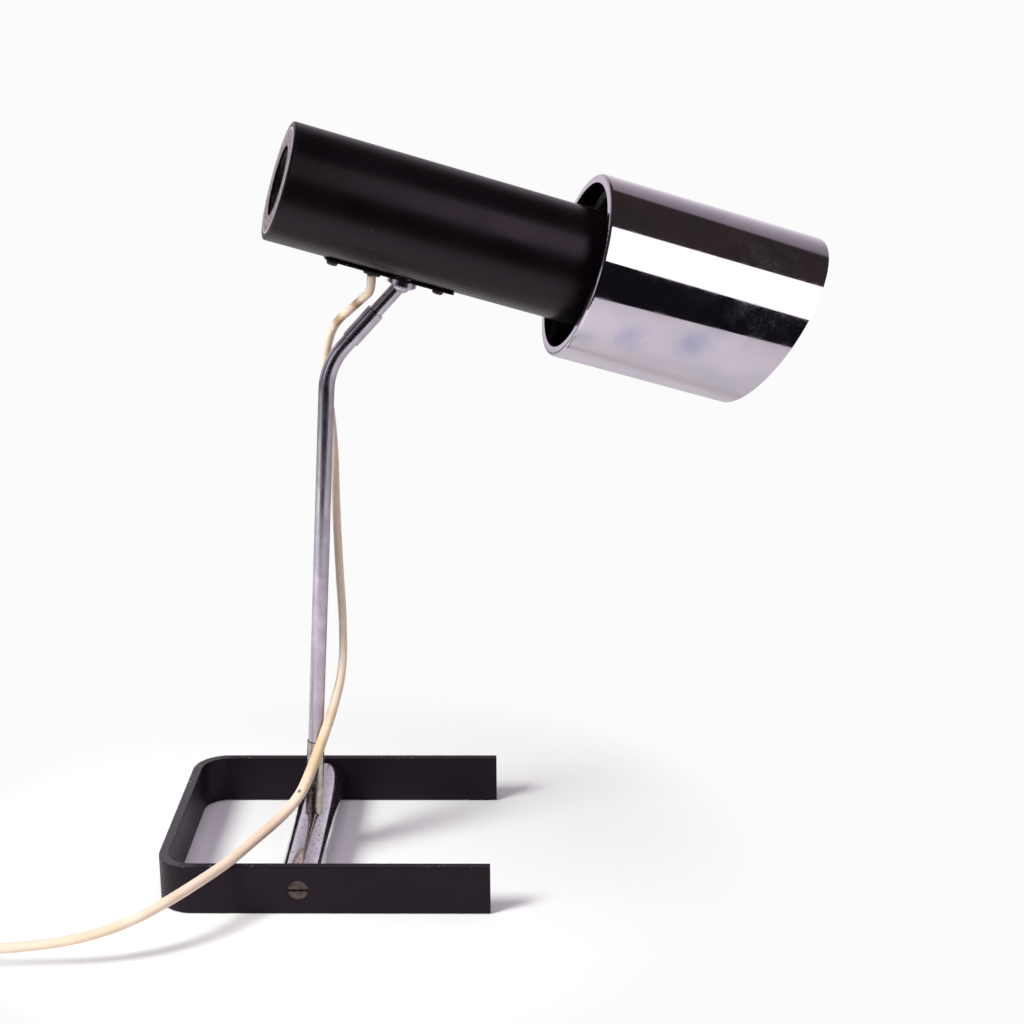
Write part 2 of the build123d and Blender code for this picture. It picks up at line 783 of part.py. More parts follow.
# Shade carrier: hub on the shell, three arms and a rim inside the shade
with BuildPart() as shade_carrier:
    hub_radius = shell_diameter / 2 + seat_gap
    shade_inner_radius = shade_diameter / 2 - shade_wall
    rim_outer = shade_inner_radius - seat_gap
    with BuildSketch(head_square(carrier_at)):
        Circle(hub_radius + carrier_hub_width)
        with PolarLocations(0, 3, start_angle=90):
            Rectangle(rim_outer - carrier_rim_width / 2, carrier_arm_width, align=(Align.MIN, Align.CENTER))
        Circle(rim_outer)
        Circle(rim_outer - carrier_rim_width, mode=Mode.SUBTRACT)
        Circle(hub_radius + carrier_hub_width)
        with PolarLocations(0, 3, start_angle=90):
            Rectangle(rim_outer - carrier_rim_width / 2, carrier_arm_width, align=(Align.MIN, Align.CENTER))
        Circle(hub_radius, mode=Mode.SUBTRACT)
    extrude(amount=carrier_thickness)
    with BuildSketch(head_square(carrier_at)):
        Circle(rim_outer)
        Circle(rim_outer - carrier_thickness, mode=Mode.SUBTRACT)
    extrude(amount=carrier_rim_depth)
save(shade_carrier, "shade_carrier")

# Shade ring: threaded on the shell, clamps the carrier
with BuildPart() as shade_ring:
    with BuildSketch(head_square(carrier_at + carrier_thickness)):
        Circle(hub_radius + shade_ring_width)
        Circle(hub_radius, mode=Mode.SUBTRACT)
    extrude(amount=shade_ring_thickness)
save(shade_ring, "shade_ring")

# Shade: cylinder with a rolled rear rim and an oblique front cut
with BuildPart() as shade:
    shade_radius = shade_diameter / 2
    mouth_radius = shade_mouth_diameter / 2
    longest = shade_cut_at + shade_diameter
    rim_inner_radius = shade_rim_radius - shade_wall
    with BuildSketch(tube_mid):
        with BuildLine():
            Polyline(
                (shade_rear + shade_rim_radius, shade_inner_radius),
                (longest, shade_inner_radius),
                (longest, shade_radius),
                (shade_rear + shade_rim_radius, shade_radius),
            )
            RadiusArc(
                (shade_rear, shade_radius - shade_rim_radius),
                (shade_rear + shade_rim_radius, shade_radius),
                shade_rim_radius,
            )
            Polyline(
                (shade_rear, shade_radius - shade_rim_radius),
                (shade_rear, mouth_radius),
                (shade_rear + shade_wall, mouth_radius),
                (shade_rear + shade_wall, shade_radius - shade_rim_radius),
            )
            RadiusArc(
                (shade_rear + shade_wall, shade_radius - shade_rim_radius),
                (shade_rear + shade_rim_radius, shade_inner_radius),
                rim_inner_radius,
            )
        make_face()
    revolve(axis=tube_axis)
    cut = math.radians(shade_cut_angle)
    cut_normal = head_dir * math.cos(cut) - head_up * math.sin(cut)
    split(
        bisect_by=Plane(origin=tube_centre + head_dir * shade_cut_at, z_dir=cut_normal), keep=Keep.BOTTOM
    )
save(shade, "shade")

# Bulb: cap, insulator with its contact, glass
with BuildPart() as bulb_cap:
    with BuildSketch(head_square(bulb_cap_rear + bulb_cap_wall)):
        Circle(bulb_cap_diameter / 2)
        Circle(bulb_cap_diameter / 2 - bulb_cap_wall, mode=Mode.SUBTRACT)
    extrude(amount=bulb_cap_front - bulb_cap_rear - bulb_cap_wall)
    with BuildSketch(head_square(bulb_cap_rear)):
        Circle(bulb_cap_diameter / 2 - bulb_cap_wall)
        Circle(bulb_contact_diameter, mode=Mode.SUBTRACT)
    extrude(amount=2 * bulb_cap_wall)
save(bulb_cap, "bulb_cap")

with BuildPart() as bulb_insulator:
    contact_radius = bulb_contact_diameter / 2
    with BuildSketch(tube_mid):
        with BuildLine():
            Polyline(
                (centre_contact_at, 0),
                (centre_contact_at, contact_radius),
                (centre_contact_at + bulb_cap_wall, contact_radius),
                (bulb_cap_rear, 2 * contact_radius - seat_gap),
                (bulb_cap_rear + 2 * bulb_cap_wall, 2 * contact_radius - seat_gap),
                (bulb_cap_rear + 2 * bulb_cap_wall, 0),
                close=True,
            )
        make_face()
    revolve(axis=tube_axis)
save(bulb_insulator, "bulb_insulator")

with BuildPart() as bulb_glass:
    glass_radius = bulb_diameter / 2
    neck_outer = bulb_cap_diameter / 2
    glass_tip = centre_contact_at + bulb_length
    glass_centre = glass_tip - glass_radius
    shoulder_turn = math.radians(bulb_shoulder_turn)
    shoulder_x = glass_centre - glass_radius * math.cos(shoulder_turn)
    shoulder_r = glass_radius * math.sin(shoulder_turn)
    inner_glass = glass_radius - bulb_glass_wall
    inner_shoulder_x = glass_centre - inner_glass * math.cos(shoulder_turn)
    inner_shoulder_r = inner_glass * math.sin(shoulder_turn)
    side_dir = (math.sin(shoulder_turn), math.cos(shoulder_turn))
    with BuildSketch(tube_mid):
        with BuildLine():
            Spline(
                (bulb_cap_front, neck_outer), (shoulder_x, shoulder_r), tangents=((1, 0), side_dir)
            )
            ThreePointArc((shoulder_x, shoulder_r), (glass_centre, glass_radius), (glass_tip, 0))
            Line((glass_tip, 0), (glass_tip - bulb_glass_wall, 0))
            ThreePointArc(
                (inner_shoulder_x, inner_shoulder_r),
                (glass_centre, inner_glass),
                (glass_tip - bulb_glass_wall, 0),
            )
            Spline(
                (bulb_cap_front, neck_outer - bulb_glass_wall),
                (inner_shoulder_x, inner_shoulder_r),
                tangents=((1, 0), side_dir),
            )
            Line((bulb_cap_front, neck_outer - bulb_glass_wall), (bulb_cap_front, neck_outer))
        make_face()
    revolve(axis=tube_axis)
save(bulb_glass, "bulb_glass")


# Cord: free stretches along runs and tangent arcs, and the coil of its unseen length
cord_radius = cord_diameter / 2
run_share = 0.45


def corner_radii(points):
    """Arc radius at each inner point: as large as the shorter of its two runs allows."""
    radii = []
    for before, here, after in zip(points, points[1:], points[2:]):
        run_in = here - before
        run_out = after - here
        half_turn = math.radians(run_in.get_angle(run_out) / 2)
        radii.append(run_share * min(run_in.length, run_out.length) / math.tan(half_turn))
    return radii


def report_cord(label, part, length):
    """Print how a tube's volume compares with its section times its length."""
    section_area = math.pi * cord_radius**2
    share = part.volume / (section_area * length)
    print(f"{label}: length {length:.1f}, volume over section times length {share:.4f}")


gland_exit = head_point(gland_at, gland_mouth)
head_run_points = [
    gland_exit,
    gland_exit - head_up * cord_straight,
    Vector(95.0, 5.0, 289.4),
    Vector(87.0, 9.4, 277.0),
    Vector(83.4, 10.8, 261.5),
    Vector(84.2, 10.6, 246.0),
    Vector(86.4, 9.8, 222.0),
]
stem_run_points = [
    Vector(84.2, 10.6, 246.0),
    Vector(86.4, 9.8, 222.0),
    Vector(86.3, 9.5, 194.0),
    Vector(87.0, 9.3, 158.0),
]
floor_run_points = [
    Vector(86.3, 9.5, 194.0),
    Vector(87.0, 9.3, 158.0),
    Vector(89.0, 7.8, 124.0),
    Vector(87.2, 2.8, 98.5),
    Vector(81.0, -5.0, 77.5),
    Vector(74.5, -12.0, 59.0),
    Vector(68.5, -18.0, 45.5),
    Vector(62.0, -28.0, 38.5),
    Vector(53.5, -42.0, 35.8),
    Vector(43.5, -57.5, 35.2),
    Vector(34.0, -76.0, 35.2),
    Vector(19.0, -95.0, 30.0),
    Vector(-6.0, -110.5, 22.0),
    Vector(-37.0, -120.5, 13.5),
    Vector(-64.0, switch_y, switch_height / 2),
    Vector(switch_entry_x, switch_y, switch_height / 2),
]
# The three free stretches join end to end at these shares of the runs that they have in common
head_run_share = 0.375
stem_run_share = 0.45
head_split = stem_run_points[0] + (stem_run_points[1] - stem_run_points[0]) * head_run_share
stem_split = floor_run_points[0] + (floor_run_points[1] - floor_run_points[0]) * stem_run_share
head_run_points[-1] = head_split
stem_run_points[0] = head_split
stem_run_points[-1] = stem_split
floor_run_points[0] = stem_split

switch_exit = Vector(switch_entry_x - switch_length, switch_y, switch_height / 2)
coil_floor = cord_radius + floor_gap
coil_start = Vector(coil_centre_x, switch_y, coil_floor)
coil_lead = coil_start + Vector(cord_diameter, 0, 0)
switch_tail_points = [
    switch_exit,
    switch_exit + Vector(-cord_straight, 0, 0),
    (switch_exit + coil_lead) * 0.5 + Vector(0, switch_tail_sway, 0),
    coil_lead + Vector(cord_straight, 0, 0),
    coil_lead,
]

for label, points in (
    ("cord_head_run", head_run_points),
    ("cord_stem_run", stem_run_points),
    ("cord_floor_run", floor_run_points),
    ("cord_switch_tail", switch_tail_points),
):
    radii = corner_radii(points)
    print(label, "radii", [round(radius, 1) for radius in radii])
    with BuildPart() as cord_run:
        with BuildLine() as run_path:
            FilletPolyline(*points, radius=radii)
        with BuildSketch(Plane(origin=points[0], z_dir=points[1] - points[0])):
            Circle(cord_radius)
        sweep(path=run_path.wires()[0])
    report_cord(label, cord_run.part, run_path.wires()[0].length)
    save(cord_run, label)


def biarc(start, start_dir, end, end_dir):
    """Point and direction where two tangent arcs meet that run from start to end in the given directions."""
    gap = end - start
    both = start_dir + end_dir
    spread = 2 * (1 - start_dir.dot(end_dir))
    reach = (-gap.dot(both) + math.sqrt(gap.dot(both) ** 2 + spread * gap.dot(gap))) / spread
    middle = (start + end + (start_dir - end_dir) * reach) * 0.5
    middle_dir = (end - end_dir * reach - start - start_dir * reach).normalized()
    return middle, middle_dir


def coil_place(half_turn):
    """Centreline of the coil: inwards on the lower layer, a climb, outwards on the upper one."""
    inward = coil_half_turns - max(abs(half_turn - coil_half_turns - 0.5) - 0.5, 0)
    last_step = max(inward - coil_half_turns + 1, 0)
    climb = min(max(half_turn - coil_half_turns, 0), 1)
    radius = coil_radius - coil_pitch / 2 * inward - coil_inner_step * last_step
    angle = -math.pi / 2 - math.pi * half_turn
    height = coil_floor + coil_layer * climb
    return radius, angle, height


coil_centre_y = switch_y + coil_radius
total_half_turns = 2 * coil_half_turns + 1
quarter_marks = [mark / 2 for mark in range(2 * total_half_turns + 1)]


def coil_point(mark):
    """Point of the coil's centreline at a count of half turns."""
    radius, angle, height = coil_place(mark)
    return Vector(coil_centre_x + radius * math.cos(angle), coil_centre_y + radius * math.sin(angle), height)


def coil_direction(mark):
    """Direction of the coil's centreline, level and square to the radius."""
    angle = coil_place(mark)[1]
    return Vector(math.sin(angle), -math.cos(angle), 0)


with BuildPart() as cord_coil:
    with BuildLine() as coil_path:
        Line(coil_lead, coil_start)
        for mark, next_mark in zip(quarter_marks, quarter_marks[1:]):
            here, here_dir = coil_point(mark), coil_direction(mark)
            there, there_dir = coil_point(next_mark), coil_direction(next_mark)
            middle, middle_dir = biarc(here, here_dir, there, there_dir)
            TangentArc(here, middle, tangent=here_dir)
            TangentArc(middle, there, tangent=middle_dir)
        coil_end = coil_point(total_half_turns)
        coil_exit = coil_end + Vector(cord_diameter, 0, 0)
        Line(coil_end, coil_exit)
    with BuildSketch(Plane(origin=coil_lead, z_dir=(-1, 0, 0))):
        Circle(cord_radius)
    sweep(path=coil_path.wires()[0])
report_cord("cord_coil", cord_coil.part, coil_path.wires()[0].length)
save(cord_coil, "cord_coil")

# Least gap of the coil to itself, measured on points of its centreline
coil_samples = [coil_point(step / 60) for step in range(60 * total_half_turns + 1)]
neighbour_steps = 60
least_gap = min(
    (coil_samples[i] - coil_samples[j]).length
    for i in range(len(coil_samples))
    for j in range(i + neighbour_steps, len(coil_samples))
)
print(f"cord_coil: least gap to itself {least_gap - cord_diameter:.2f}")

# Last stretch, from the coil's upper layer in a quarter turn down to the plug
plug_height = plug_thickness / 2 + floor_gap
plug_tail_points = [coil_exit]
for turn, drop_share in ((0, 0.0), (1, 0.5), (2, 0.5), (3, 0.0)):
    heading = math.radians(turn * plug_tail_turn)
    drop = (coil_exit.Z - plug_height) * drop_share
    level_run = Vector(math.cos(heading), math.sin(heading), 0) * plug_tail_run
    plug_tail_points.append(plug_tail_points[-1] + level_run - Vector(0, 0, drop))
plug_entry = plug_tail_points[-1]
plug_tail_radii = corner_radii(plug_tail_points)
print("cord_plug_tail radii", [round(radius, 1) for radius in plug_tail_radii])
with BuildPart() as cord_plug_tail:
    with BuildLine() as tail_path:
        FilletPolyline(*plug_tail_points, radius=plug_tail_radii)
    with BuildSketch(Plane(origin=coil_exit, z_dir=plug_tail_points[1] - coil_exit)):
        Circle(cord_radius)
    sweep(path=tail_path.wires()[0])
report_cord("cord_plug_tail", cord_plug_tail.part, tail_path.wires()[0].length)
save(cord_plug_tail, "cord_plug_tail")

# In-line switch: two half shells, rocker and the closing screw
switch_mid_x = switch_entry_x - switch_length / 2
switch_mid_z = switch_height / 2
rocker_axis_z = switch_height - rocker_axis_drop
rocker_swing = (rocker_axis_drop + rocker_stand) * math.sin(math.radians(rocker_tip))
rocker_mid = Plane(
    origin=(switch_mid_x, switch_y, rocker_axis_z),
    x_dir=(math.cos(math.radians(rocker_tip)), 0, math.sin(math.radians(rocker_tip))),
    z_dir=(0, -1, 0),
)
for label, level, growth in (("switch_lower", 0.0, 1), ("switch_upper", switch_height, -1)):
    with BuildPart() as half_shell:
        with BuildSketch(Plane.XY.offset(level)):
            with Locations((switch_mid_x, switch_y)):
                RectangleRounded(switch_length, switch_width, switch_corner)
        extrude(amount=growth * switch_height / 2)
        outer_level = 0 if growth > 0 else -1
        fillet(half_shell.faces().group_by(Axis.Z)[outer_level].edges(), switch_edge)
        with BuildSketch(Plane.XY.offset(switch_mid_z)):
            with Locations((switch_mid_x, switch_y)):
                RectangleRounded(
                    switch_length - 2 * switch_end_wall,
                    switch_width - 2 * switch_wall,
                    switch_corner - switch_wall,
                )
        extrude(amount=-growth * (switch_height / 2 - switch_wall), mode=Mode.SUBTRACT)
        if growth < 0:
            with BuildSketch(Plane.XY.offset(switch_mid_z)):
                for side_sign in (-1, 1):
                    cheek_width = (switch_width - rocker_width) / 2 - rocker_gap - switch_wall
                    cheek_y = switch_y + side_sign * (rocker_width / 2 + rocker_gap + cheek_width / 2)
                    with Locations((switch_mid_x, cheek_y)):
                        Rectangle(rocker_cheek_length, cheek_width)
            extrude(amount=switch_height / 2 - switch_wall)
            rocker_opening = rocker_length + 2 * (rocker_gap + rocker_swing)
            with BuildSketch(Plane.XY.offset(switch_mid_z)):
                with Locations((switch_mid_x, switch_y)):
                    Rectangle(rocker_opening, rocker_width + 2 * rocker_gap)
            extrude(amount=switch_height, mode=Mode.SUBTRACT)
            with BuildSketch(rocker_mid):
                Circle(rocker_pin_diameter / 2 + seat_gap)
            extrude(amount=rocker_width / 2 + rocker_gap + rocker_pin_length, both=True, mode=Mode.SUBTRACT)
        if growth > 0:
            with BuildSketch():
                with Locations((switch_mid_x - switch_length / 4, switch_y)):
                    Circle(switch_screw_diameter / 2 + seat_gap)
            extrude(amount=switch_screw_height, mode=Mode.SUBTRACT)
    save(half_shell, label)

with BuildPart() as switch_rocker:
    rocker_half = rocker_length / 2
    rocker_top = rocker_axis_drop + rocker_stand
    rocker_foot = rocker_pin_diameter / 2 + rocker_gap
    with BuildSketch(rocker_mid.offset(-rocker_width / 2)):
        with BuildLine():
            Polyline(
                (rocker_half, rocker_top),
                (rocker_half - rocker_stand, -rocker_foot),
                (-rocker_half + rocker_stand, -rocker_foot),
                (-rocker_half, rocker_top),
            )
            ThreePointArc(
                (-rocker_half, rocker_top), (0, rocker_top - rocker_stand), (rocker_half, rocker_top)
            )
        make_face()
    extrude(amount=rocker_width)
    with BuildSketch(rocker_mid):
        Circle(rocker_pin_diameter / 2)
    extrude(amount=rocker_width / 2 + rocker_pin_length, both=True)
save(switch_rocker, "switch_rocker")

with BuildPart() as switch_screw:
    with BuildSketch(Plane.XY.offset(switch_screw_height)):
        with Locations((switch_mid_x - switch_length / 4, switch_y)):
            Circle(switch_screw_diameter / 2)
    extrude(amount=-switch_screw_height / 2)
save(switch_screw, "switch_screw")

# Flat two-pin plug, its pins pointing away from the coil
plug_face_y = plug_entry.Y + plug_relief_length + plug_length
with BuildPart() as plug_body:
    plug_floor = Plane(origin=(plug_entry.X, plug_entry.Y, floor_gap), x_dir=(0, 1, 0), z_dir=(0, 0, 1))
    with BuildSketch(plug_floor):
        with BuildLine():
            Polyline(
                (0, -plug_relief_diameter / 2),
                (plug_relief_length, -plug_waist / 2),
                (plug_relief_length + plug_waist, -plug_width / 2),
                (plug_relief_length + plug_length, -plug_width / 2),
                (plug_relief_length + plug_length, plug_width / 2),
                (plug_relief_length + plug_waist, plug_width / 2),
                (plug_relief_length, plug_waist / 2),
                (0, plug_relief_diameter / 2),
                close=True,
            )
        make_face()
    extrude(amount=plug_thickness)
    fillet(plug_body.edges().filter_by(Axis.Z), plug_edge)
    fillet(plug_body.faces().group_by(Axis.Z)[0].edges(), plug_edge)
    fillet(plug_body.faces().group_by(Axis.Z)[-1].edges(), plug_edge)
    plug_inward = Plane(origin=(plug_entry.X, plug_face_y, plug_height), x_dir=(1, 0, 0), z_dir=(0, -1, 0))
    with BuildSketch(plug_inward):
        with Locations((-pin_spacing / 2, 0), (pin_spacing / 2, 0)):
            Circle(pin_tail_diameter / 2 + seat_gap)
    extrude(amount=pin_tail_length, mode=Mode.SUBTRACT)
save(plug_body, "plug_body")

with BuildPart() as plug_pins:
    plug_face = Plane(origin=(plug_entry.X, plug_face_y, plug_height), x_dir=(1, 0, 0), z_dir=(0, 1, 0))
    with BuildSketch(plug_face):
        with Locations((-pin_spacing / 2, 0), (pin_spacing / 2, 0)):
            Circle(pin_diameter / 2)
    extrude(amount=pin_length)
    fillet(plug_pins.faces().group_by(Axis.Y)[-1].edges(), pin_diameter / 5)
    with BuildSketch(plug_face):
        with Locations((-pin_spacing / 2, 0), (pin_spacing / 2, 0)):
            Circle(pin_tail_diameter / 2)
    extrude(amount=-pin_tail_length)
save(plug_pins, "plug_pins")

print("ball centre", ball_centre)
print("head direction", head_dir, "up", head_up, "side", head_side)
print("gland exit", gland_exit, "stem splits", head_split, stem_split)
print("coil exit", coil_exit, "plug entry", plug_entry)
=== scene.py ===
"""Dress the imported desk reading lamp: finishes, flat flex, strain reliefs, studio and camera.

Lengths are metres in the lamp's own frame: +X towards the open end of the base, +Y to the far arm, +Z up.
"""

import json
import logging
import math
from dataclasses import dataclass
from enum import Enum

import bpy
import numpy as np
from mathutils import Matrix, Vector

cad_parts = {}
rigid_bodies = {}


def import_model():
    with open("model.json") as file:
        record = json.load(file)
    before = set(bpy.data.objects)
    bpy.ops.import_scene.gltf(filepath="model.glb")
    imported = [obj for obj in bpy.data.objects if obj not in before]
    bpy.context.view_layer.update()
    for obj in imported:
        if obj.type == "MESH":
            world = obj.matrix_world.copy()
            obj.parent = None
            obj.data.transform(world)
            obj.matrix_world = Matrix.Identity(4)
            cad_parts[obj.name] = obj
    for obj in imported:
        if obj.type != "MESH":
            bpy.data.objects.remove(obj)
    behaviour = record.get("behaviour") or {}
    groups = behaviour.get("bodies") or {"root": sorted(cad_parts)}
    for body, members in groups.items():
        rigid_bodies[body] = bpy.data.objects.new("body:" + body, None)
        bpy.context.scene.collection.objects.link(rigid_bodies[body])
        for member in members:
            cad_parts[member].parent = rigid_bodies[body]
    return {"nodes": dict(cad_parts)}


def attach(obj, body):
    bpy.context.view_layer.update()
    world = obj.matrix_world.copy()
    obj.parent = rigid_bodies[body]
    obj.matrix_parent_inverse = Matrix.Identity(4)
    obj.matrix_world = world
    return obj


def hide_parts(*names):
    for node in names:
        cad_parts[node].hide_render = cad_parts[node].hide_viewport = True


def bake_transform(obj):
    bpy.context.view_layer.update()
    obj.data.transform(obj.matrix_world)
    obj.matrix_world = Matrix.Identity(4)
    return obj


for startup_object in list(bpy.data.objects):
    bpy.data.objects.remove(startup_object)
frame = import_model()

logging.basicConfig(level=logging.INFO, format="%(name)s: %(message)s")
log = logging.getLogger("lamp")

MM = 0.001
SHARP_EDGE = math.radians(60)

Tree = bpy.types.NodeTree
Socket = bpy.types.NodeSocket
Point = tuple[float, float, float]
Fade = tuple[float, float]  # the value where a thing is absent, and the one where it is full
Route = tuple[tuple[Point, Point], ...]  # control points, each with the direction of the flex's wide side


def linear(hex_colour: str) -> tuple[float, float, float, float]:
    """Turn an sRGB hex colour into Blender's linear red, green, blue and alpha."""
    digits = hex_colour.lstrip("#")
    steps = np.array([int(digits[i:i + 2], 16) for i in (0, 2, 4)]) / 255.0
    light = np.where(steps <= 0.04045, steps / 12.92, ((steps + 0.055) / 1.055) ** 2.4)
    return (*light.tolist(), 1.0)


def per_size(size_mm: float) -> float:
    """Texture scale that gives features of a real size in millimetres, on coordinates in metres."""
    return 1.0 / (size_mm * MM)


def add_node(tree: Tree, kind: str, sockets: dict | None = None, **settings) -> bpy.types.Node:
    """Add one shader node with its settings and its inputs.

    Args:
        tree: Node tree that gets the node.
        kind: Blender's node type name.
        sockets: Value or output socket for each input, by the input's name or number.
        **settings: Attributes of the node, such as operation or data_type.

    Returns:
        The new node.
    """
    node = tree.nodes.new(kind)
    for attribute, value in settings.items():
        setattr(node, attribute, value)
    for key, value in (sockets or {}).items():
        if isinstance(value, Socket):
            tree.links.new(value, node.inputs[key])
        else:
            node.inputs[key].default_value = value
    return node


def node_material(name: str) -> tuple[bpy.types.Material, Tree]:
    """Make a material with an empty node tree."""
    made = bpy.data.materials.new(name)
    made.use_nodes = True
    made.node_tree.nodes.clear()
    return made, made.node_tree


def noise(tree: Tree, place: Socket, size_mm: float, detail: float = 2.0) -> Socket:
    """Noise with features of a real size, from 0 to 1."""
    sockets = {"Vector": place, "Scale": per_size(size_mm), "Detail": detail}
    return add_node(tree, "ShaderNodeTexNoise", sockets).outputs["Fac"]


def share_between(tree: Tree, value: Socket, none: float, full: float) -> Socket:
    """Share that is 0 where the value is at one level and 1 where it is at the other."""
    sockets = {"Value": value, "From Min": none, "From Max": full}
    return add_node(tree, "ShaderNodeMapRange", sockets).outputs["Result"]


def product(tree: Tree, first: Socket, second: Socket | float) -> Socket:
    """Product of two values."""
    return add_node(tree, "ShaderNodeMath", {0: first, 1: second}, operation="MULTIPLY").outputs[0]


def both_fades(tree: Tree, first: Socket, first_fade: Fade, second: Socket, second_fade: Fade) -> Socket:
    """Share that is 1 only where two values are both past their fades."""
    return product(tree, share_between(tree, first, *first_fade), share_between(tree, second, *second_fade))


def scaled_sum(tree: Tree, value: Socket, scale: float, rest: Socket | float) -> Socket:
    """Value times a scale, plus the rest."""
    sockets = {0: value, 1: scale, 2: rest}
    return add_node(tree, "ShaderNodeMath", sockets, operation="MULTIPLY_ADD").outputs[0]


def blend_colour(tree: Tree, share: Socket, under: Socket | str, over: Socket | str) -> Socket:
    """Lay a colour over another one by a share. Each is a socket or an sRGB hex colour."""
    under, over = (linear(colour) if isinstance(colour, str) else colour for colour in (under, over))
    sockets = {"Factor": share, "A": under, "B": over}
    return add_node(tree, "ShaderNodeMix", sockets, data_type="RGBA").outputs[2]


def near_point(tree: Tree, place: Socket, middle: Point, none: float, full: float) -> Socket:
    """Share that is 0 at one distance from a point and 1 at another."""
    sockets = {0: place, 1: middle}
    away = add_node(tree, "ShaderNodeVectorMath", sockets, operation="DISTANCE").outputs["Value"]
    return share_between(tree, away, none, full)


def distance_from_axis(tree: Tree, place: Socket, middle: Point, direction: Point) -> Socket:
    """Distance from a line: the length of the product of the way from its middle with its direction."""
    way = add_node(tree, "ShaderNodeVectorMath", {0: place, 1: middle}, operation="SUBTRACT").outputs[0]
    sockets = {0: way, 1: direction}
    turned = add_node(tree, "ShaderNodeVectorMath", sockets, operation="CROSS_PRODUCT").outputs[0]
    return add_node(tree, "ShaderNodeVectorMath", {0: turned}, operation="LENGTH").outputs["Value"]


@dataclass(frozen=True)
class Look:
    """What a surface's shader gets, as far as it is worked out.

    Attributes:
        colour: Base colour.
        roughness: Roughness.
        metallic: Share of bare metal.
    """

    colour: Socket
    roughness: Socket
    metallic: Socket | float


@dataclass(frozen=True)
class Mark:
    """A round stain.

    Attributes:
        middle: Its middle.
        reach: How far it reaches.
        colour: Its colour.
    """

    middle: Point
    reach: float
    colour: str


@dataclass(frozen=True)
class Spots:
    """Irregular spots of a real size, from noise.

    Attributes:
        size_mm: Usual size.
        none: Noise level at which they set in.
        full: Noise level from which they are full.
        detail: Finer steps in their outline.
    """

    size_mm: float
    none: float
    full: float
    detail: float = 3.0

    def share(self, tree: Tree, place: Socket) -> Socket:
        """Share of a spot at each place."""
        return share_between(tree, noise(tree, place, self.size_mm, self.detail), self.none, self.full)


@dataclass(frozen=True)
class Wear:
    """Marks on a finish. This kind has none."""

    def lay(self, tree: Tree, place: Socket, look: Look) -> Look:
        """Add the marks to a look, in a material's tree, at coordinates in metres."""
        return look


@dataclass(frozen=True)
class EdgeChips(Wear):
    """Lacquer chipped to the steel along the top edge, and a painted sheen that makes the closed end's top
    face paler.

    Attributes:
        edge: Heights between which the chipped edge sets in.
        chips: The chips.
        stretches: Stretches of the edge that have chips.
        painted_sheen_height: Heights between which the painted sheen sets in.
        painted_sheen_place: Places along X between which it sets in.
        steel: Colour of the bare steel.
        painted_sheen: Colour of the painted sheen, paler than the lacquer where the top face catches the
            light.
    """

    edge: Fade = (0.0250, 0.0254)
    chips: Spots = Spots(1.7, 0.66, 0.69)
    stretches: Spots = Spots(31.0, 0.50, 0.56, detail=2.0)
    painted_sheen_height: Fade = (0.0253, 0.0256)
    painted_sheen_place: Fade = (0.020, 0.006)
    steel: str = "#B9B3B5"
    painted_sheen: str = "#454147"

    def lay(self, tree: Tree, place: Socket, look: Look) -> Look:
        """Lay the painted sheen, then the chips."""
        axes = add_node(tree, "ShaderNodeSeparateXYZ", {"Vector": place}).outputs
        chipped = product(tree, share_between(tree, axes["Z"], *self.edge), self.chips.share(tree, place))
        chipped = product(tree, chipped, self.stretches.share(tree, place))
        # Painted sheen: the closed end's top face made paler, standing in for light it catches at a grazing
        # angle.
        painted_sheen = both_fades(tree, axes["Z"], self.painted_sheen_height, axes["X"], self.painted_sheen_place)
        colour = blend_colour(tree, painted_sheen, look.colour, self.painted_sheen)
        return Look(blend_colour(tree, chipped, colour, self.steel), look.roughness, look.metallic)


@dataclass(frozen=True)
class RingFace(Wear):
    """A ring of bare metal between a lacquered bore and a lacquered rim, with a painted glint along its
    outer edge.

    Attributes:
        middle: A point on the ring's axis.
        axis: Direction of that axis.
        bare_from: Radii between which the bare face sets in.
        bare_to: Radii between which it ends.
        painted_glint_from: Radii between which the painted glint on the edge sets in.
        painted_glint_to: Radii between which it ends.
        bright: Colour of the painted glint.
        lacquer: Colour of the lacquer.
        lacquer_roughness: Roughness of the lacquer.
    """

    middle: Point = (0.13266, 0.00206, 0.33657)
    axis: Point = (0.930794, 0.202946, -0.304033)
    bare_from: Fade = (0.0172, 0.0175)
    bare_to: Fade = (0.0261, 0.0257)
    painted_glint_from: Fade = (0.0253, 0.0255)
    painted_glint_to: Fade = (0.0261, 0.0260)
    bright: str = "#F2EEF0"
    lacquer: str = "#0B0A0B"
    lacquer_roughness: float = 0.34

    def lay(self, tree: Tree, place: Socket, look: Look) -> Look:
        """Paint a glint on the edge, then lacquer all but the bare ring."""
        radius = distance_from_axis(tree, place, self.middle, self.axis)
        bare = both_fades(tree, radius, self.bare_from, radius, self.bare_to)
        # Painted glint: a thin near-white ring where the edge would catch the light.
        bright = both_fades(tree, radius, self.painted_glint_from, radius, self.painted_glint_to)
        colour = blend_colour(tree, bright, look.colour, self.bright)
        sockets = {"Factor": bare, "A": self.lacquer_roughness, "B": look.roughness}
        roughness = add_node(tree, "ShaderNodeMix", sockets).outputs[0]
        colour = blend_colour(tree, bare, self.lacquer, colour)
        return Look(colour, roughness, product(tree, bare, look.metallic))


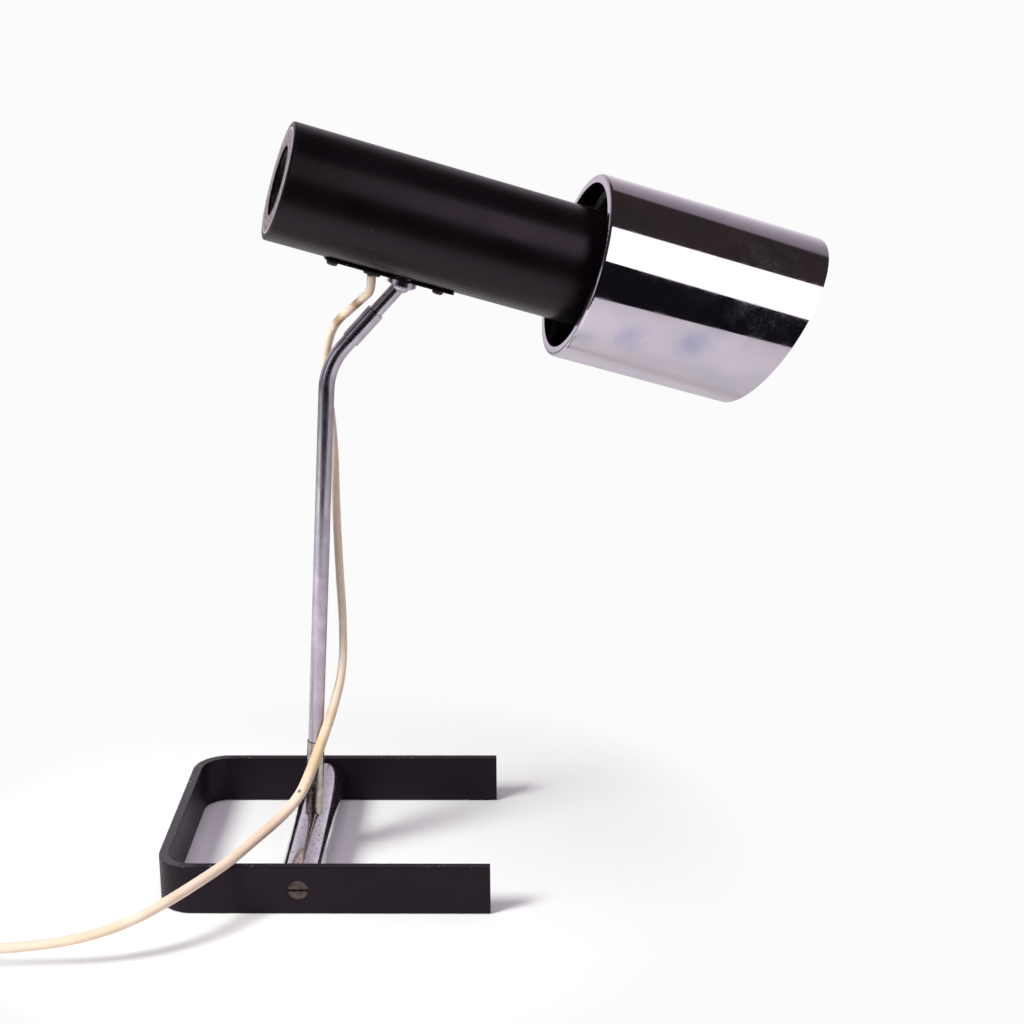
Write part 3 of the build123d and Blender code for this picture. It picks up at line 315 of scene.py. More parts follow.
@dataclass(frozen=True)
class ShadeStains(Wear):
    """Cloudy chrome with a few bluish patches, fine dust and wiped smears.

    Attributes:
        clouds: Clouds in the chrome.
        cloud: Their colour.
        patches: The bluish patches.
        patch_core: Share of a patch's reach that is at its full strength.
        patch_grain: Unevenness of the patches.
        patch_share: Strength of the patches.
        specks: The dust.
        drifts: Drifts that the dust lies in.
        dusty_middle: Where the dust is thickest, near the mouth.
        dusty_reach: Distances from there between which it thickens.
        dust_elsewhere: Share of dust on the rest of the shade.
        dust_share: Strength of the dust.
        dust: Colour of the dust.
        dust_roughness: Roughness that dust adds.
        dust_metallic: Metallic share that dust adds.
        smears: Wiped smears.
        smear_roughness: Roughness that a smear adds.
    """

    clouds: Spots = Spots(24.0, 0.48, 0.72)
    cloud: str = "#B9B6C4"
    patches: tuple[Mark, ...] = (
        Mark((0.2354, -0.0172, 0.2823), 0.0110, "#8E8FB4"),
        Mark((0.2638, -0.0130, 0.2773), 0.0100, "#9495B6"),
        Mark((0.2112, -0.0167, 0.2812), 0.0080, "#A9A7B2"),
    )
    patch_core: float = 0.3
    patch_grain: Spots = Spots(9.0, 0.25, 0.75)
    patch_share: float = 0.7
    specks: Spots = Spots(0.55, 0.50, 0.72)
    drifts: Spots = Spots(9.0, 0.40, 0.70, detail=4.0)
    dusty_middle: Point = (0.2960, -0.0075, 0.3030)
    dusty_reach: Fade = (0.036, 0.006)
    dust_elsewhere: float = 0.10
    dust_share: float = 0.8
    dust: str = "#B5B0B6"
    dust_roughness: float = 0.25
    dust_metallic: float = -0.30
    smears: Spots = Spots(7.0, 0.45, 0.75, detail=5.0)
    smear_roughness: float = 0.05

    def lay(self, tree: Tree, place: Socket, look: Look) -> Look:
        """Lay the clouds, the patches and the dust, and roughen the smears."""
        colour = blend_colour(tree, self.clouds.share(tree, place), look.colour, self.cloud)
        grain = self.patch_grain.share(tree, place)
        for mark in self.patches:
            near = near_point(tree, place, mark.middle, mark.reach, mark.reach * self.patch_core)
            patch = product(tree, product(tree, near, grain), self.patch_share)
            colour = blend_colour(tree, patch, colour, mark.colour)
        specks, drifts = self.specks.share(tree, place), self.drifts.share(tree, place)
        dusty = near_point(tree, place, self.dusty_middle, *self.dusty_reach)
        thick = product(tree, product(tree, dusty, drifts), specks)
        dust = scaled_sum(tree, product(tree, specks, drifts), self.dust_elsewhere, thick)
        colour = blend_colour(tree, product(tree, dust, self.dust_share), colour, self.dust)
        roughness = scaled_sum(tree, self.smears.share(tree, place), self.smear_roughness, look.roughness)
        roughness = scaled_sum(tree, dust, self.dust_roughness, roughness)
        return Look(colour, roughness, scaled_sum(tree, dust, self.dust_metallic, look.metallic))


@dataclass(frozen=True)
class Pits(Wear):
    """Small dull pits in a chromed surface.

    Attributes:
        pits: The pits.
        pit: Their colour.
        pit_roughness: Roughness that a pit adds.
    """

    pits: Spots = Spots(0.9, 0.59, 0.64)
    pit: str = "#6A636D"
    pit_roughness: float = 0.35

    def lay(self, tree: Tree, place: Socket, look: Look) -> Look:
        """Darken and roughen the pits."""
        pits = self.pits.share(tree, place)
        colour = blend_colour(tree, pits, look.colour, self.pit)
        return Look(colour, scaled_sum(tree, pits, self.pit_roughness, look.roughness), look.metallic)


@dataclass(frozen=True)
class FlexStains(Wear):
    """Yellowed and browned places along the flex, a pale painted highlight near the head, and two nicks near
    the base.

    Attributes:
        marks: The places.
        core: Share of a mark's reach that is at its full strength.
    """

    marks: tuple[Mark, ...] = (
        Mark((0.0735, -0.0080, 0.0600), 0.0140, "#D9BE9C"),
        Mark((0.0812, -0.0015, 0.0800), 0.0050, "#DDB8A2"),
        Mark((0.0653, -0.0162, 0.0425), 0.0013, "#5B4630"),
        Mark((0.0643, -0.0170, 0.0402), 0.0012, "#6A543A"),
        Mark((0.1015, 0.0050, 0.2962), 0.0052, "#8F6A4A"),
        Mark((0.0912, 0.0100, 0.2867), 0.0050, "#A47F5C"),
        # Painted highlight: a near-white patch where the flex is most brightly lit.
        Mark((0.0963, 0.0078, 0.2914), 0.0034, "#F2E0DA"),
    )
    core: float = 0.5

    def lay(self, tree: Tree, place: Socket, look: Look) -> Look:
        """Lay the marks in order."""
        colour = look.colour
        for mark in self.marks:
            near = near_point(tree, place, mark.middle, mark.reach, mark.reach * self.core)
            colour = blend_colour(tree, near, colour, mark.colour)
        return Look(colour, look.roughness, look.metallic)


@dataclass(frozen=True)
class Finish:
    """One surface finish, from its real material and how its surface was made.

    Attributes:
        name: Material name, after the real material.
        colour: Main sRGB colour.
        second: Colour of the uneven patches.
        patch_mm: Size of the patches.
        metallic: 1 for bare metal, 0 for paint, plastic, rubber and glass.
        roughness: Middle roughness.
        roughness_spread: How far roughness moves to either side of the middle.
        ior: Refractive index; metals keep the default.
        gloss: Tint of the reflections that a paint or plastic gives; the violet tints are painted reflection
            colour that stands in for the room's violet light.
        grain_mm: Size of the surface grain.
        grain_depth_mm: Height of the grain.
        speck: Colour of the specks of dust or dirt, or none.
        speck_mm: Usual distance between specks.
        speck_share: Speck size as a share of that distance.
        wear: Extra marks.
    """

    name: str
    colour: str
    second: str
    patch_mm: float = 18.0
    metallic: float = 0.0
    roughness: float = 0.45
    roughness_spread: float = 0.05
    ior: float = 1.5
    gloss: str = "#FFFFFF"
    grain_mm: float = 0.6
    grain_depth_mm: float = 0.004
    speck: str = ""
    speck_mm: float = 9.0
    speck_share: float = 0.03
    wear: Wear = Wear()

    COLOUR_LEVELS = (0.35, 0.65)
    ROUGHNESS_LEVELS = (0.3, 0.7)
    SPECK_CORE = 0.6

    def material(self) -> bpy.types.Material:
        """Build the node material of this finish, once."""
        if self.name in bpy.data.materials:
            return bpy.data.materials[self.name]
        made, tree = node_material(self.name)
        place = add_node(tree, "ShaderNodeTexCoord").outputs["Object"]
        look = self.wear.lay(tree, place, self.bare_look(tree, place))
        height = noise(tree, place, self.grain_mm)
        grain = add_node(tree, "ShaderNodeBump", {"Height": height, "Distance": self.grain_depth_mm * MM})
        surface = add_node(
            tree,
            "ShaderNodeBsdfPrincipled",
            {
                "Base Color": look.colour,
                "Roughness": look.roughness,
                "Metallic": look.metallic,
                "IOR": self.ior,
                # A violet gloss paints the room's violet light into the reflections.
                "Specular Tint": linear(self.gloss),
                "Normal": grain.outputs["Normal"],
            },
        )
        add_node(tree, "ShaderNodeOutputMaterial", {"Surface": surface.outputs["BSDF"]})
        return made

    def bare_look(self, tree: Tree, place: Socket) -> Look:
        """Uneven colour and roughness of the finish, with its specks but no other marks."""
        patches = noise(tree, place, self.patch_mm, 4.0)
        colour = share_between(tree, patches, *self.COLOUR_LEVELS)
        colour = blend_colour(tree, colour, self.colour, self.second)
        roughness = share_between(tree, patches, *self.ROUGHNESS_LEVELS)
        node = roughness.node
        node.inputs["To Min"].default_value = self.roughness - self.roughness_spread
        node.inputs["To Max"].default_value = self.roughness + self.roughness_spread
        if self.speck:
            sockets = {"Vector": place, "Scale": per_size(self.speck_mm)}
            cells = add_node(tree, "ShaderNodeTexVoronoi", sockets, feature="F1").outputs["Distance"]
            speck = share_between(tree, cells, self.speck_share, self.speck_share * self.SPECK_CORE)
            colour = blend_colour(tree, speck, colour, self.speck)
        return Look(colour, roughness, self.metallic)


class Palette(Enum):
    """The lamp's finishes, named for the real material of each part."""

    # Soft black with a faint plum cast and a painted violet tint in its reflections, chipped to pale steel
    # along its edges, with a painted sheen on the closed end's top face.
    BASE_LACQUER = Finish(
        "stoved_black_lacquer_on_steel", "#130E14", "#19131A", patch_mm=30, roughness=0.45, ior=1.28,
        gloss="#FFE3FA", grain_mm=0.35, grain_depth_mm=0.006, speck="#6B6670", speck_mm=14,
        speck_share=0.02, wear=EdgeChips(),
    )
    # Deeper and smoother black, with a painted violet tint in its reflections and one broad dim band of
    # light along the tube.
    TUBE_LACQUER = Finish(
        "matt_black_lacquer_on_aluminium", "#080508", "#0C080C", patch_mm=25, roughness=0.31, ior=1.34,
        gloss="#FFE1F8", grain_mm=0.3, grain_depth_mm=0.004, speck="#8A8580", speck_mm=16,
        speck_share=0.012,
    )
    # Pale mottled grey with a painted glint on its edge and a painted violet tint in its reflections,
    # against a black bore and rim.
    RING_METAL = Finish(
        "cast_grey_alloy", "#A69EA2", "#5E575C", patch_mm=1.6, metallic=0.6, roughness=0.45, ior=1.34,
        gloss="#FFE1F8", grain_mm=0.5, grain_depth_mm=0.02, speck="#6F686C", speck_mm=5,
        speck_share=0.06, wear=RingFace(),
    )
    # Nearly a mirror: hard white and black bands, clouded by dust and age; its lilac colour is a painted
    # tint of the room's violet light in its reflections.
    SHADE_CHROME = Finish(
        "polished_chromed_steel", "#CAC0CA", "#C2B9C4", patch_mm=22, metallic=1, roughness=0.05,
        roughness_spread=0.02, grain_mm=2.5, grain_depth_mm=0.0006, wear=ShadeStains(),
    )
    # Greyer and softer, with a blurred dark line along the rod.
    ROD_CHROME = Finish(
        "dull_chromed_steel_rod", "#B9B2BD", "#A8A1AD", patch_mm=9, metallic=1, roughness=0.20,
        roughness_spread=0.05, grain_mm=0.5, grain_depth_mm=0.001,
    )
    # Brightest metal, with dark pits.
    BAR_CHROME = Finish(
        "turned_chromed_bar", "#DDD7DF", "#D2CCD5", patch_mm=10, metallic=1, roughness=0.10,
        roughness_spread=0.03, grain_mm=0.6, grain_depth_mm=0.001, wear=Pits(),
    )
    # Warmer and rubbed, so the foot's sleeve stands out from the rod in it.
    WORN_NICKEL = Finish(
        "worn_nickel_plate", "#B9B3AC", "#A49C94", patch_mm=5, metallic=1, roughness=0.24,
        roughness_spread=0.08, grain_mm=0.5, grain_depth_mm=0.002,
    )
    # Dull brown-grey heads, a little paler than the black round them.
    SCREW_STEEL = Finish(
        "dull_blued_steel", "#5E524D", "#483E3A", patch_mm=2.5, metallic=0.8, roughness=0.5,
        roughness_spread=0.1, grain_mm=0.4, grain_depth_mm=0.01,
    )
    # Yellow metal of the fittings and the plug's pins.
    BRASS = Finish("turned_brass", "#C6A15A", "#A98345", patch_mm=5, metallic=1, roughness=0.3, grain_mm=0.3)
    # Cool pale sheet inside the tube.
    ZINC_STEEL = Finish(
        "zinc_plated_sheet", "#B4B5B2", "#9C9E9C", patch_mm=4, metallic=1, roughness=0.35, grain_mm=0.4,
    )
    # Black spider, dark so that the gap between tube and shade stays dark: painted shade on a real part.
    BLACK_STEEL = Finish(
        "sheet_steel_dark_as_painted_shade", "#141214", "#1A181A", patch_mm=6, metallic=0.3, roughness=0.6, grain_mm=0.4,
    )
    # Ivory like the flex, a little duller.
    RELIEF_PVC = Finish(
        "ivory_pvc_moulding", "#DFD0B6", "#D8C7A8", patch_mm=6, roughness=0.5, ior=1.53, grain_mm=0.8,
    )
    # Dull black dot where the flex enters the head.
    GLAND_RUBBER = Finish(
        "black_rubber", "#1B1719", "#262022", patch_mm=3, roughness=0.65, grain_mm=0.3, grain_depth_mm=0.01,
    )
    # Dusty black under the base.
    PAD_RUBBER = Finish("foot_rubber", "#1A1A1B", "#242323", patch_mm=3, roughness=0.8, grain_mm=0.4)
    # Thin red-brown line at each end of the cross bar.
    FIBRE = Finish("vulcanised_fibre", "#8A4A36", "#7A3F2E", patch_mm=2, roughness=0.8, grain_mm=0.2)
    # Warm ivory with a soft sheen, browned in places, with a painted highlight near the head.
    FLEX = Finish(
        "ivory_pvc_flex", "#E9D3C3", "#E1C8B3", patch_mm=14, roughness=0.42, roughness_spread=0.08,
        ior=1.53, grain_mm=0.8, grain_depth_mm=0.006, wear=FlexStains(),
    )
    # Brown insulation of the leads inside.
    LEAD = Finish("brown_pvc_lead", "#6A4632", "#5C3B2A", patch_mm=4, roughness=0.4)
    # Cream block between brass screws.
    BLOCK = Finish("cream_urea_block", "#D9D0BD", "#CFC4AE", patch_mm=5, roughness=0.35)
    # Dark glossy brown of the lampholder.
    BAKELITE = Finish("dark_bakelite", "#2A1C17", "#33221B", patch_mm=6, roughness=0.28, ior=1.6)
    # Off-white glaze in the lampholder and under the bulb.
    PORCELAIN = Finish("glazed_porcelain", "#ECE8E0", "#E4DED2", patch_mm=5, roughness=0.2)
    # Even milky white with a clear highlight, like a frosted bulb that is off.
    PEARL_GLASS = Finish("pearl_bulb_glass", "#F4F2ED", "#F0EDE6", patch_mm=40, roughness=0.2, grain_mm=0.3)
    # Smooth ivory moulding, shinier than the flex.
    SWITCH_UREA = Finish(
        "ivory_urea_moulding", "#DFD2B8", "#D8C9AC", patch_mm=9, roughness=0.25, ior=1.55, grain_mm=1.2,
    )
    # Brown rocker, to tell it from its housing.
    ROCKER = Finish("brown_urea_moulding", "#6B4630", "#5E3C29", patch_mm=6, roughness=0.25, ior=1.55)

    def dress(self, *pieces: bpy.types.Object) -> None:
        """Give this finish to pieces."""
        for piece in pieces:
            piece.data.materials.clear()
            piece.data.materials.append(self.value.material())


NODE_FINISHES = {
    Palette.BASE_LACQUER: ("base_bow", "underside_plate"),
    Palette.TUBE_LACQUER: ("head_tube",),
    Palette.RING_METAL: ("rear_ring",),
    Palette.SHADE_CHROME: ("shade",),
    Palette.ROD_CHROME: ("stem_rod", "top_sleeve", "ball_stud", "ball_socket"),
    Palette.BAR_CHROME: ("cross_bar",),
    Palette.WORN_NICKEL: ("foot_sleeve",),
    Palette.SCREW_STEEL: (
        "pivot_screws", "plate_screws", "foot_grub_screw", "socket_plug", "terminal_screws", "switch_screw",
    ),
    Palette.BRASS: (
        "socket_nut", "holder_nipple", "nipple_nut", "centre_contact", "side_contacts", "plug_pins",
        "bulb_cap",
    ),
    Palette.ZINC_STEEL: ("inner_bracket",),
    Palette.BLACK_STEEL: ("shade_carrier",),
    Palette.GLAND_RUBBER: ("cord_gland",),
    Palette.PAD_RUBBER: ("base_pads",),
    Palette.FIBRE: ("friction_washers",),
    Palette.FLEX: ("inner_cord",),
    Palette.LEAD: ("inner_leads",),
    Palette.BLOCK: ("terminal_block",),
    Palette.BAKELITE: ("holder_cap", "holder_shell", "shade_ring"),
    Palette.PORCELAIN: ("holder_insert", "bulb_insulator"),
    Palette.PEARL_GLASS: ("bulb_glass",),
    Palette.SWITCH_UREA: ("switch_lower", "switch_upper", "plug_body"),
    Palette.ROCKER: ("switch_rocker",),
}


def unit_rows(vectors: np.ndarray) -> np.ndarray:
    """Vectors, one to a row, with their lengths made 1."""
    return vectors / np.linalg.norm(vectors, axis=1, keepdims=True)


def grid_piece(name: str, points: np.ndarray, round_tube: bool, capped: bool = False) -> bpy.types.Object:
    """Make a mesh of quads over a grid of points.

    Row r and column c of the grid give vertex r * columns + c, and each quad joins a vertex to its
    neighbours at r + 1 and c + 1, where the last column joins up with the first in a round tube.

    Args:
        name: Name of the piece.
        points: Points, shaped rows, columns, 3.
        round_tube: Whether each row is a ring.
        capped: Whether the first and the last row are each closed with a face.

    Returns:
        The piece, at the origin, smooth but for its sharp edges.
    """
    rows, columns = points.shape[:2]
    r = np.arange(rows - 1)[:, None]
    c = np.arange(columns if round_tube else columns - 1)[None, :]
    near, far, beside = r * columns, (r + 1) * columns, (c + 1) % columns
    corner = np.stack([near + c, near + beside, far + beside, far + c], axis=-1)
    faces = corner.reshape(-1, 4).tolist()
    if capped:
        rim = np.arange(columns)
        faces += [rim.tolist(), ((rows - 1) * columns + rim[::-1]).tolist()]
    mesh = bpy.data.meshes.new(name)
    mesh.from_pydata(points.reshape(-1, 3), [], faces)
    mesh.shade_smooth()
    mesh.set_sharp_from_angle(angle=SHARP_EDGE)
    piece = bpy.data.objects.new(name, mesh)
    bpy.context.scene.collection.objects.link(piece)
    return piece


@dataclass(frozen=True)
class FlatCord:
    """Flat twin flex that follows a NURBS route.

    Attributes:
        width: Wide side of the flex.
        thickness: Narrow side of the flex.
        groove: Depth of the groove between its two cores, on each flat side.
        groove_width: Distance from its middle at which the groove is a third as deep.
        core_spread: How quickly the section crosses from one core to the other.
        around: Points round its section.
        steps: Points along each span of its line.
    """

    width: float = 6.1 * MM
    thickness: float = 4.2 * MM
    groove: float = 0.16 * MM
    groove_width: float = 0.45 * MM
    core_spread: float = 3.0
    around: int = 32
    steps: int = 10

    def line(self, route: np.ndarray) -> np.ndarray:
        """Points along the smooth NURBS line of a route.

        Args:
            route: Control points, shaped n, 3.

        Returns:
            Points along the line, as Blender's own curve gives them.
        """
        curve = bpy.data.curves.new("route", "CURVE")
        curve.dimensions = "3D"
        curve.resolution_u = self.steps
        spline = curve.splines.new("NURBS")
        spline.points.add(len(route) - 1)
        spline.points.foreach_set("co", np.column_stack([route, np.ones(len(route))]).ravel())
        spline.order_u = 3
        spline.use_endpoint_u = True
        holder = bpy.data.objects.new("route", curve)
        bpy.context.scene.collection.objects.link(holder)
        mesh = bpy.data.meshes.new_from_object(holder)
        points = np.empty(len(mesh.vertices) * 3)
        mesh.vertices.foreach_get("co", points)
        bpy.data.objects.remove(holder)
        bpy.data.meshes.remove(mesh)
        bpy.data.curves.remove(curve)
        return points.reshape(-1, 3)

    def section(self) -> np.ndarray:
        """Outline of the flex: a round core at each end of the width, and a shallow groove between them.

        Across is half the flat middle times the tanh of the cosine, scaled to reach 1, plus the core's
        radius times the cosine. Up is the sine times the core's radius, less the groove near the middle.
        """
        angle = np.linspace(0, 2 * np.pi, self.around, endpoint=False)
        core = self.thickness / 2
        flat = self.width / 2 - core
        spread = np.tanh(self.core_spread * np.cos(angle)) / np.tanh(self.core_spread)
        across = flat * spread + core * np.cos(angle)
        up = np.sin(angle) * (core - self.groove * np.exp(-((across / self.groove_width) ** 2)))
        return np.column_stack([across, up])

    def tube(self, name: str, route: np.ndarray, wide: np.ndarray) -> tuple[bpy.types.Object, np.ndarray]:
        """Carry the section along a route.

        Each ring of the tube is the section laid out on two directions square to the line: the wanted wide
        direction with its part along the line taken away, and the product of the line's direction with it.

        Args:
            name: Name of the piece.
            route: Control points, shaped n, 3.
            wide: Wanted direction of the wide side at each control point, shaped n, 3.

        Returns:
            The piece, and the points that it follows.
        """
        line = self.line(route)
        along = unit_rows(np.gradient(line, axis=0))
        share = np.linspace(0, len(route) - 1, len(line))
        want = np.column_stack([np.interp(share, np.arange(len(route)), wide[:, k]) for k in range(3)])
        side = unit_rows(want - along * np.sum(want * along, axis=1, keepdims=True))
        over = np.cross(along, side)
        section = self.section()
        rings = (
            line[:, None, :]
            + section[None, :, :1] * side[:, None, :]
            + section[None, :, 1:] * over[:, None, :]
        )
        return grid_piece(name, rings[:, ::-1], True, capped=True), line


@dataclass(frozen=True)
class StrainRelief:
    """Ribbed and tapered sleeve on the flex where it leaves a housing.

    Attributes:
        length: Its length along the flex.
        root: Radius at the housing.
        tip: Radius at its free end.
        ribs: Number of grooves that make the ribs.
        rib_height: Depth of a groove.
        rib_power: Power of the sine that shapes a groove.
        around: Points round it.
        rings: Rings along it.
    """

    length: float = 21.0 * MM
    root: float = 4.6 * MM
    tip: float = 3.6 * MM
    ribs: int = 6
    rib_height: float = 0.5 * MM
    rib_power: int = 4
    around: int = 32
    rings: int = 97

    def build(self, name: str, line: np.ndarray) -> bpy.types.Object:
        """Make the sleeve round the start of a line of points, on the base.

        The radius falls evenly from root to tip, less a groove's depth times a power of the sine of the
        way through it. A ring that is one point on the line closes each end.

        Args:
            name: Name of the piece.
            line: Points along the flex, from the housing outwards.

        Returns:
            The piece.
        """
        steps = np.linalg.norm(np.diff(line, axis=0), axis=1)
        way = np.concatenate([[0.0], np.cumsum(steps)])
        at = np.linspace(0, self.length, self.rings)
        middle = np.column_stack([np.interp(at, way, line[:, k]) for k in range(3)])
        along = unit_rows(np.gradient(middle, axis=0))
        side = unit_rows(np.cross(along, (0.0, 0.0, 1.0)))
        over = np.cross(side, along)
        share = at / self.length
        radius = self.root + (self.tip - self.root) * share
        radius = radius - self.rib_height * np.sin(np.pi * self.ribs * share) ** self.rib_power
        angle = np.linspace(0, 2 * np.pi, self.around, endpoint=False)
        outline = side[:, None] * np.cos(angle)[None, :, None] + over[:, None] * np.sin(angle)[None, :, None]
        body = middle[:, None] + radius[:, None, None] * outline
        ends = [np.repeat(middle[k][None, None], self.around, axis=1) for k in (0, -1)]
        piece = grid_piece(name, np.concatenate([ends[0], body, ends[1]])[:, ::-1], True)
        Palette.RELIEF_PVC.dress(piece)
        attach(piece, "base")
        log.info("%s: %.0f mm long", name, self.length / MM)
        return piece


class FarEnd(Enum):
    OBJECT = "object"
    FITTING = "fitting"
    PLUG = "plug"


@dataclass(frozen=True)
class Bend:
    """Bodies at a joint along a length of flex.

    Attributes:
        far_body: Body at its far end; not used.
        near_body: Body at its start; not used.
        settled: Control point from which it would follow far_body alone; not used.
    """

    far_body: str
    near_body: str
    settled: int = -1


@dataclass(frozen=True)
class FlexLength:
    """One length of the free flex, with what it stands for and what it moves with.

    Attributes:
        name: Name of the piece.
        route: Control points, each with the direction of the wide side.
        stands_for: CAD nodes that it replaces.
        far_end: What it ends in; not used.
        bend: Bodies at a joint along it, which leave it unparented, or none where it moves with the base.
        carries: CAD nodes that sit on it; not used.
        start_reliefs: Names of the sleeves at its start.
        end_reliefs: Names of the sleeves at its far end.
    """

    name: str
    route: Route
    stands_for: tuple[str, ...]
    far_end: FarEnd
    bend: Bend | None = None
    carries: tuple[str, ...] = ()
    start_reliefs: tuple[str, ...] = ()
    end_reliefs: tuple[str, ...] = ()


@dataclass(frozen=True)
class Coil:
    """Control points of the unseen flex, wound into a flat coil of two layers.

    Attributes:
        centre: Middle of the coil.
        radius: Radius of its outer turn.
        pitch: Distance between neighbouring turns.
        layer: Height between its two layers.
        half_turns: Half turns in each layer.
        inner_step: Extra step inwards of the innermost turn.
        floor_height: Height of the lower layer's middle.
        per_half_turn: Control points in half a turn.
    """

    centre: tuple[float, float] = (-0.205, -0.080)
    radius: float = 0.042
    pitch: float = 0.0068
    layer: float = 0.00655
    half_turns: int = 5
    inner_step: float = 0.0015
    floor_height: float = 0.00305
    per_half_turn: int = 6

    def route(self) -> list[tuple[Point, Point]]:
        """Control points with the wide side upright.

        The radius shrinks by a pitch each turn on the lower layer, then grows again on the upper one. A
        quadratic spline runs inside its points by the cosine of half a step, so they stand further out.
        """
        marks = (2 * self.half_turns + 1) * self.per_half_turn + 1
        mark = np.arange(marks) / self.per_half_turn
        inward = self.half_turns - np.maximum(np.abs(mark - self.half_turns - 0.5) - 0.5, 0)
        last_step = np.maximum(inward - self.half_turns + 1, 0)
        climb = np.clip(mark - self.half_turns, 0, 1)
        radius = self.radius - self.pitch / 2 * inward - self.inner_step * last_step
        radius = radius / math.cos(math.pi / (2 * self.per_half_turn))
        angle = -np.pi / 2 - np.pi * mark
        points = np.column_stack(
            [
                self.centre[0] + radius * np.cos(angle),
                self.centre[1] + radius * np.sin(angle),
                self.floor_height + self.layer * climb,
            ]
        )
        return [(tuple(point), (0.0, 0.0, 1.0)) for point in points.tolist()]


@dataclass(frozen=True)
class Wiring:
    """The free flex, from the head to the plug, in four lengths; the one to the plug rides on the base.

    It runs from the gland down behind the stem, over the near arm to the switch, and on through the coil.

    Attributes:
        flex: The flex.
        relief: The sleeve at the switch and at the plug.
        coil: The coil of the unseen length.
    """

    flex: FlatCord
    relief: StrainRelief
    coil: Coil

    HEAD_RUN = (
        ((0.10885, -0.00313, 0.31117), (0.1, 1, 0)),
        ((0.1086, -0.002, 0.303), (0.1, 1, 0)),
        ((0.1044, 0.0033, 0.299), (0.3, 1, 0.1)),
        ((0.0974, 0.0076, 0.2922), (0.3, 1, 0.1)),
        ((0.0894, 0.011, 0.2852), (0.2, 1, 0.1)),
        ((0.085, 0.0128, 0.2758), (0.1, 1, 0)),
        ((0.0828, 0.0136, 0.263), (0, 1, 0)),
        ((0.0842, 0.013, 0.246), (0, 1, 0)),
        ((0.08502, 0.0123, 0.237), (0, 1, 0)),
    )
    STEM_RUN = (
        ((0.08502, 0.0123, 0.237), (0, 1, 0)),
        ((0.0864, 0.0112, 0.222), (0, 1, 0)),
        ((0.0863, 0.00975, 0.194), (0, 1, 0)),
        ((0.08661, 0.00941, 0.1778), (0, 1, 0)),
    )
    FLOOR_RUN = (
        ((0.08661, 0.00941, 0.1778), (0, 1, 0)),
        ((0.08699, 0.00899, 0.158), (0, 1, 0)),
        ((0.0882, 0.0084, 0.128), (-0.1, 1, 0)),
        ((0.0878, 0.0045, 0.102), (-0.3, 1, 0.1)),
        ((0.0825, -0.0015, 0.0825), (-0.6, 0.9, 0.1)),
        ((0.076, -0.0075, 0.065), (-0.75, 0.75, 0.1)),
        ((0.0708, -0.0115, 0.0515), (-0.85, 0.6, 0.05)),
        ((0.065, -0.015, 0.039), (-0.86, 0.5, 0)),
        ((0.056, -0.03, 0.0335), (-0.86, 0.5, 0)),
        ((0.046, -0.05, 0.0315), (-0.86, 0.5, 0)),
        ((0.036, -0.067, 0.0283), (-0.86, 0.5, 0)),
        ((0.026, -0.084, 0.0274), (-0.86, 0.5, 0)),
        ((0.012, -0.105, 0.026), (-0.75, 0.65, 0)),
        ((-0.006, -0.117, 0.0202), (-0.45, 0.9, 0)),
        ((-0.03, -0.122, 0.0143), (-0.1, 1, 0)),
        ((-0.058, -0.1222, 0.0105), (0, 1, 0)),
        ((-0.078, -0.122, 0.00905), (0, 1, 0)),
        ((-0.09, -0.122, 0.00905), (0, 1, 0)),
    )
    SWITCH_TAIL = (
        ((-0.148, -0.122, 0.00905), (0, 1, 0)),
        ((-0.16, -0.122, 0.00905), (0, 1, 0.2)),
        ((-0.1735, -0.1208, 0.00605), (0, 0.8, 0.6)),
        ((-0.187, -0.122, 0.00305), (0, 0.3, 1)),
        ((-0.199, -0.122, 0.00305), (0, 0, 1)),
    )
    PLUG_TAIL = (
        ((-0.199, -0.038, 0.0096), (0, 0, 1)),
        ((-0.1842, -0.038, 0.0096), (0.1, 0.1, 1)),
        ((-0.17138, -0.0306, 0.00825), (0.5, -0.2, 0.7)),
        ((-0.16398, -0.01778, 0.0069), (1, -0.1, 0.2)),
        ((-0.16398, -0.00298, 0.0069), (1, 0, 0)),
    )

    def lengths(self) -> tuple[FlexLength, ...]:
        """The four lengths, from the head to the plug."""
        return (
            FlexLength(
                "flex_at_head", self.HEAD_RUN, ("cord_head_run",), FarEnd.OBJECT, bend=Bend("stud", "head"),
            ),
            FlexLength(
                "flex_behind_stem", self.STEM_RUN, ("cord_stem_run",), FarEnd.OBJECT,
                bend=Bend("stem", "stud"),
            ),
            FlexLength(
                "flex_to_switch", self.FLOOR_RUN, ("cord_floor_run",), FarEnd.FITTING,
                bend=Bend("base", "stem", settled=6),
                carries=("switch_lower", "switch_upper", "switch_rocker", "switch_screw"),
                end_reliefs=("relief_before_switch",),
            ),
            FlexLength(
                "flex_to_plug", (*self.SWITCH_TAIL, *self.coil.route(), *self.PLUG_TAIL),
                ("cord_switch_tail", "cord_coil", "cord_plug_tail"), FarEnd.PLUG,
                carries=("plug_body", "plug_pins"),
                start_reliefs=("relief_after_switch",),
                end_reliefs=("relief_at_plug",),
            ),
        )

    def build(self) -> None:
        """Make and place all lengths of flex."""
        for length in self.lengths():
            self.build_length(length)

    def build_length(self, length: FlexLength) -> None:
        table = np.array(length.route)
        piece, line = self.flex.tube(length.name, table[:, 0], table[:, 1])
        reliefs = [self.relief.build(name, line) for name in length.start_reliefs]
        reliefs += [self.relief.build(name, line[::-1]) for name in length.end_reliefs]
        Palette.FLEX.dress(piece)
        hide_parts(*length.stands_for)
        if length.bend:
            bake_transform(piece)
        else:
            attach(piece, "base")


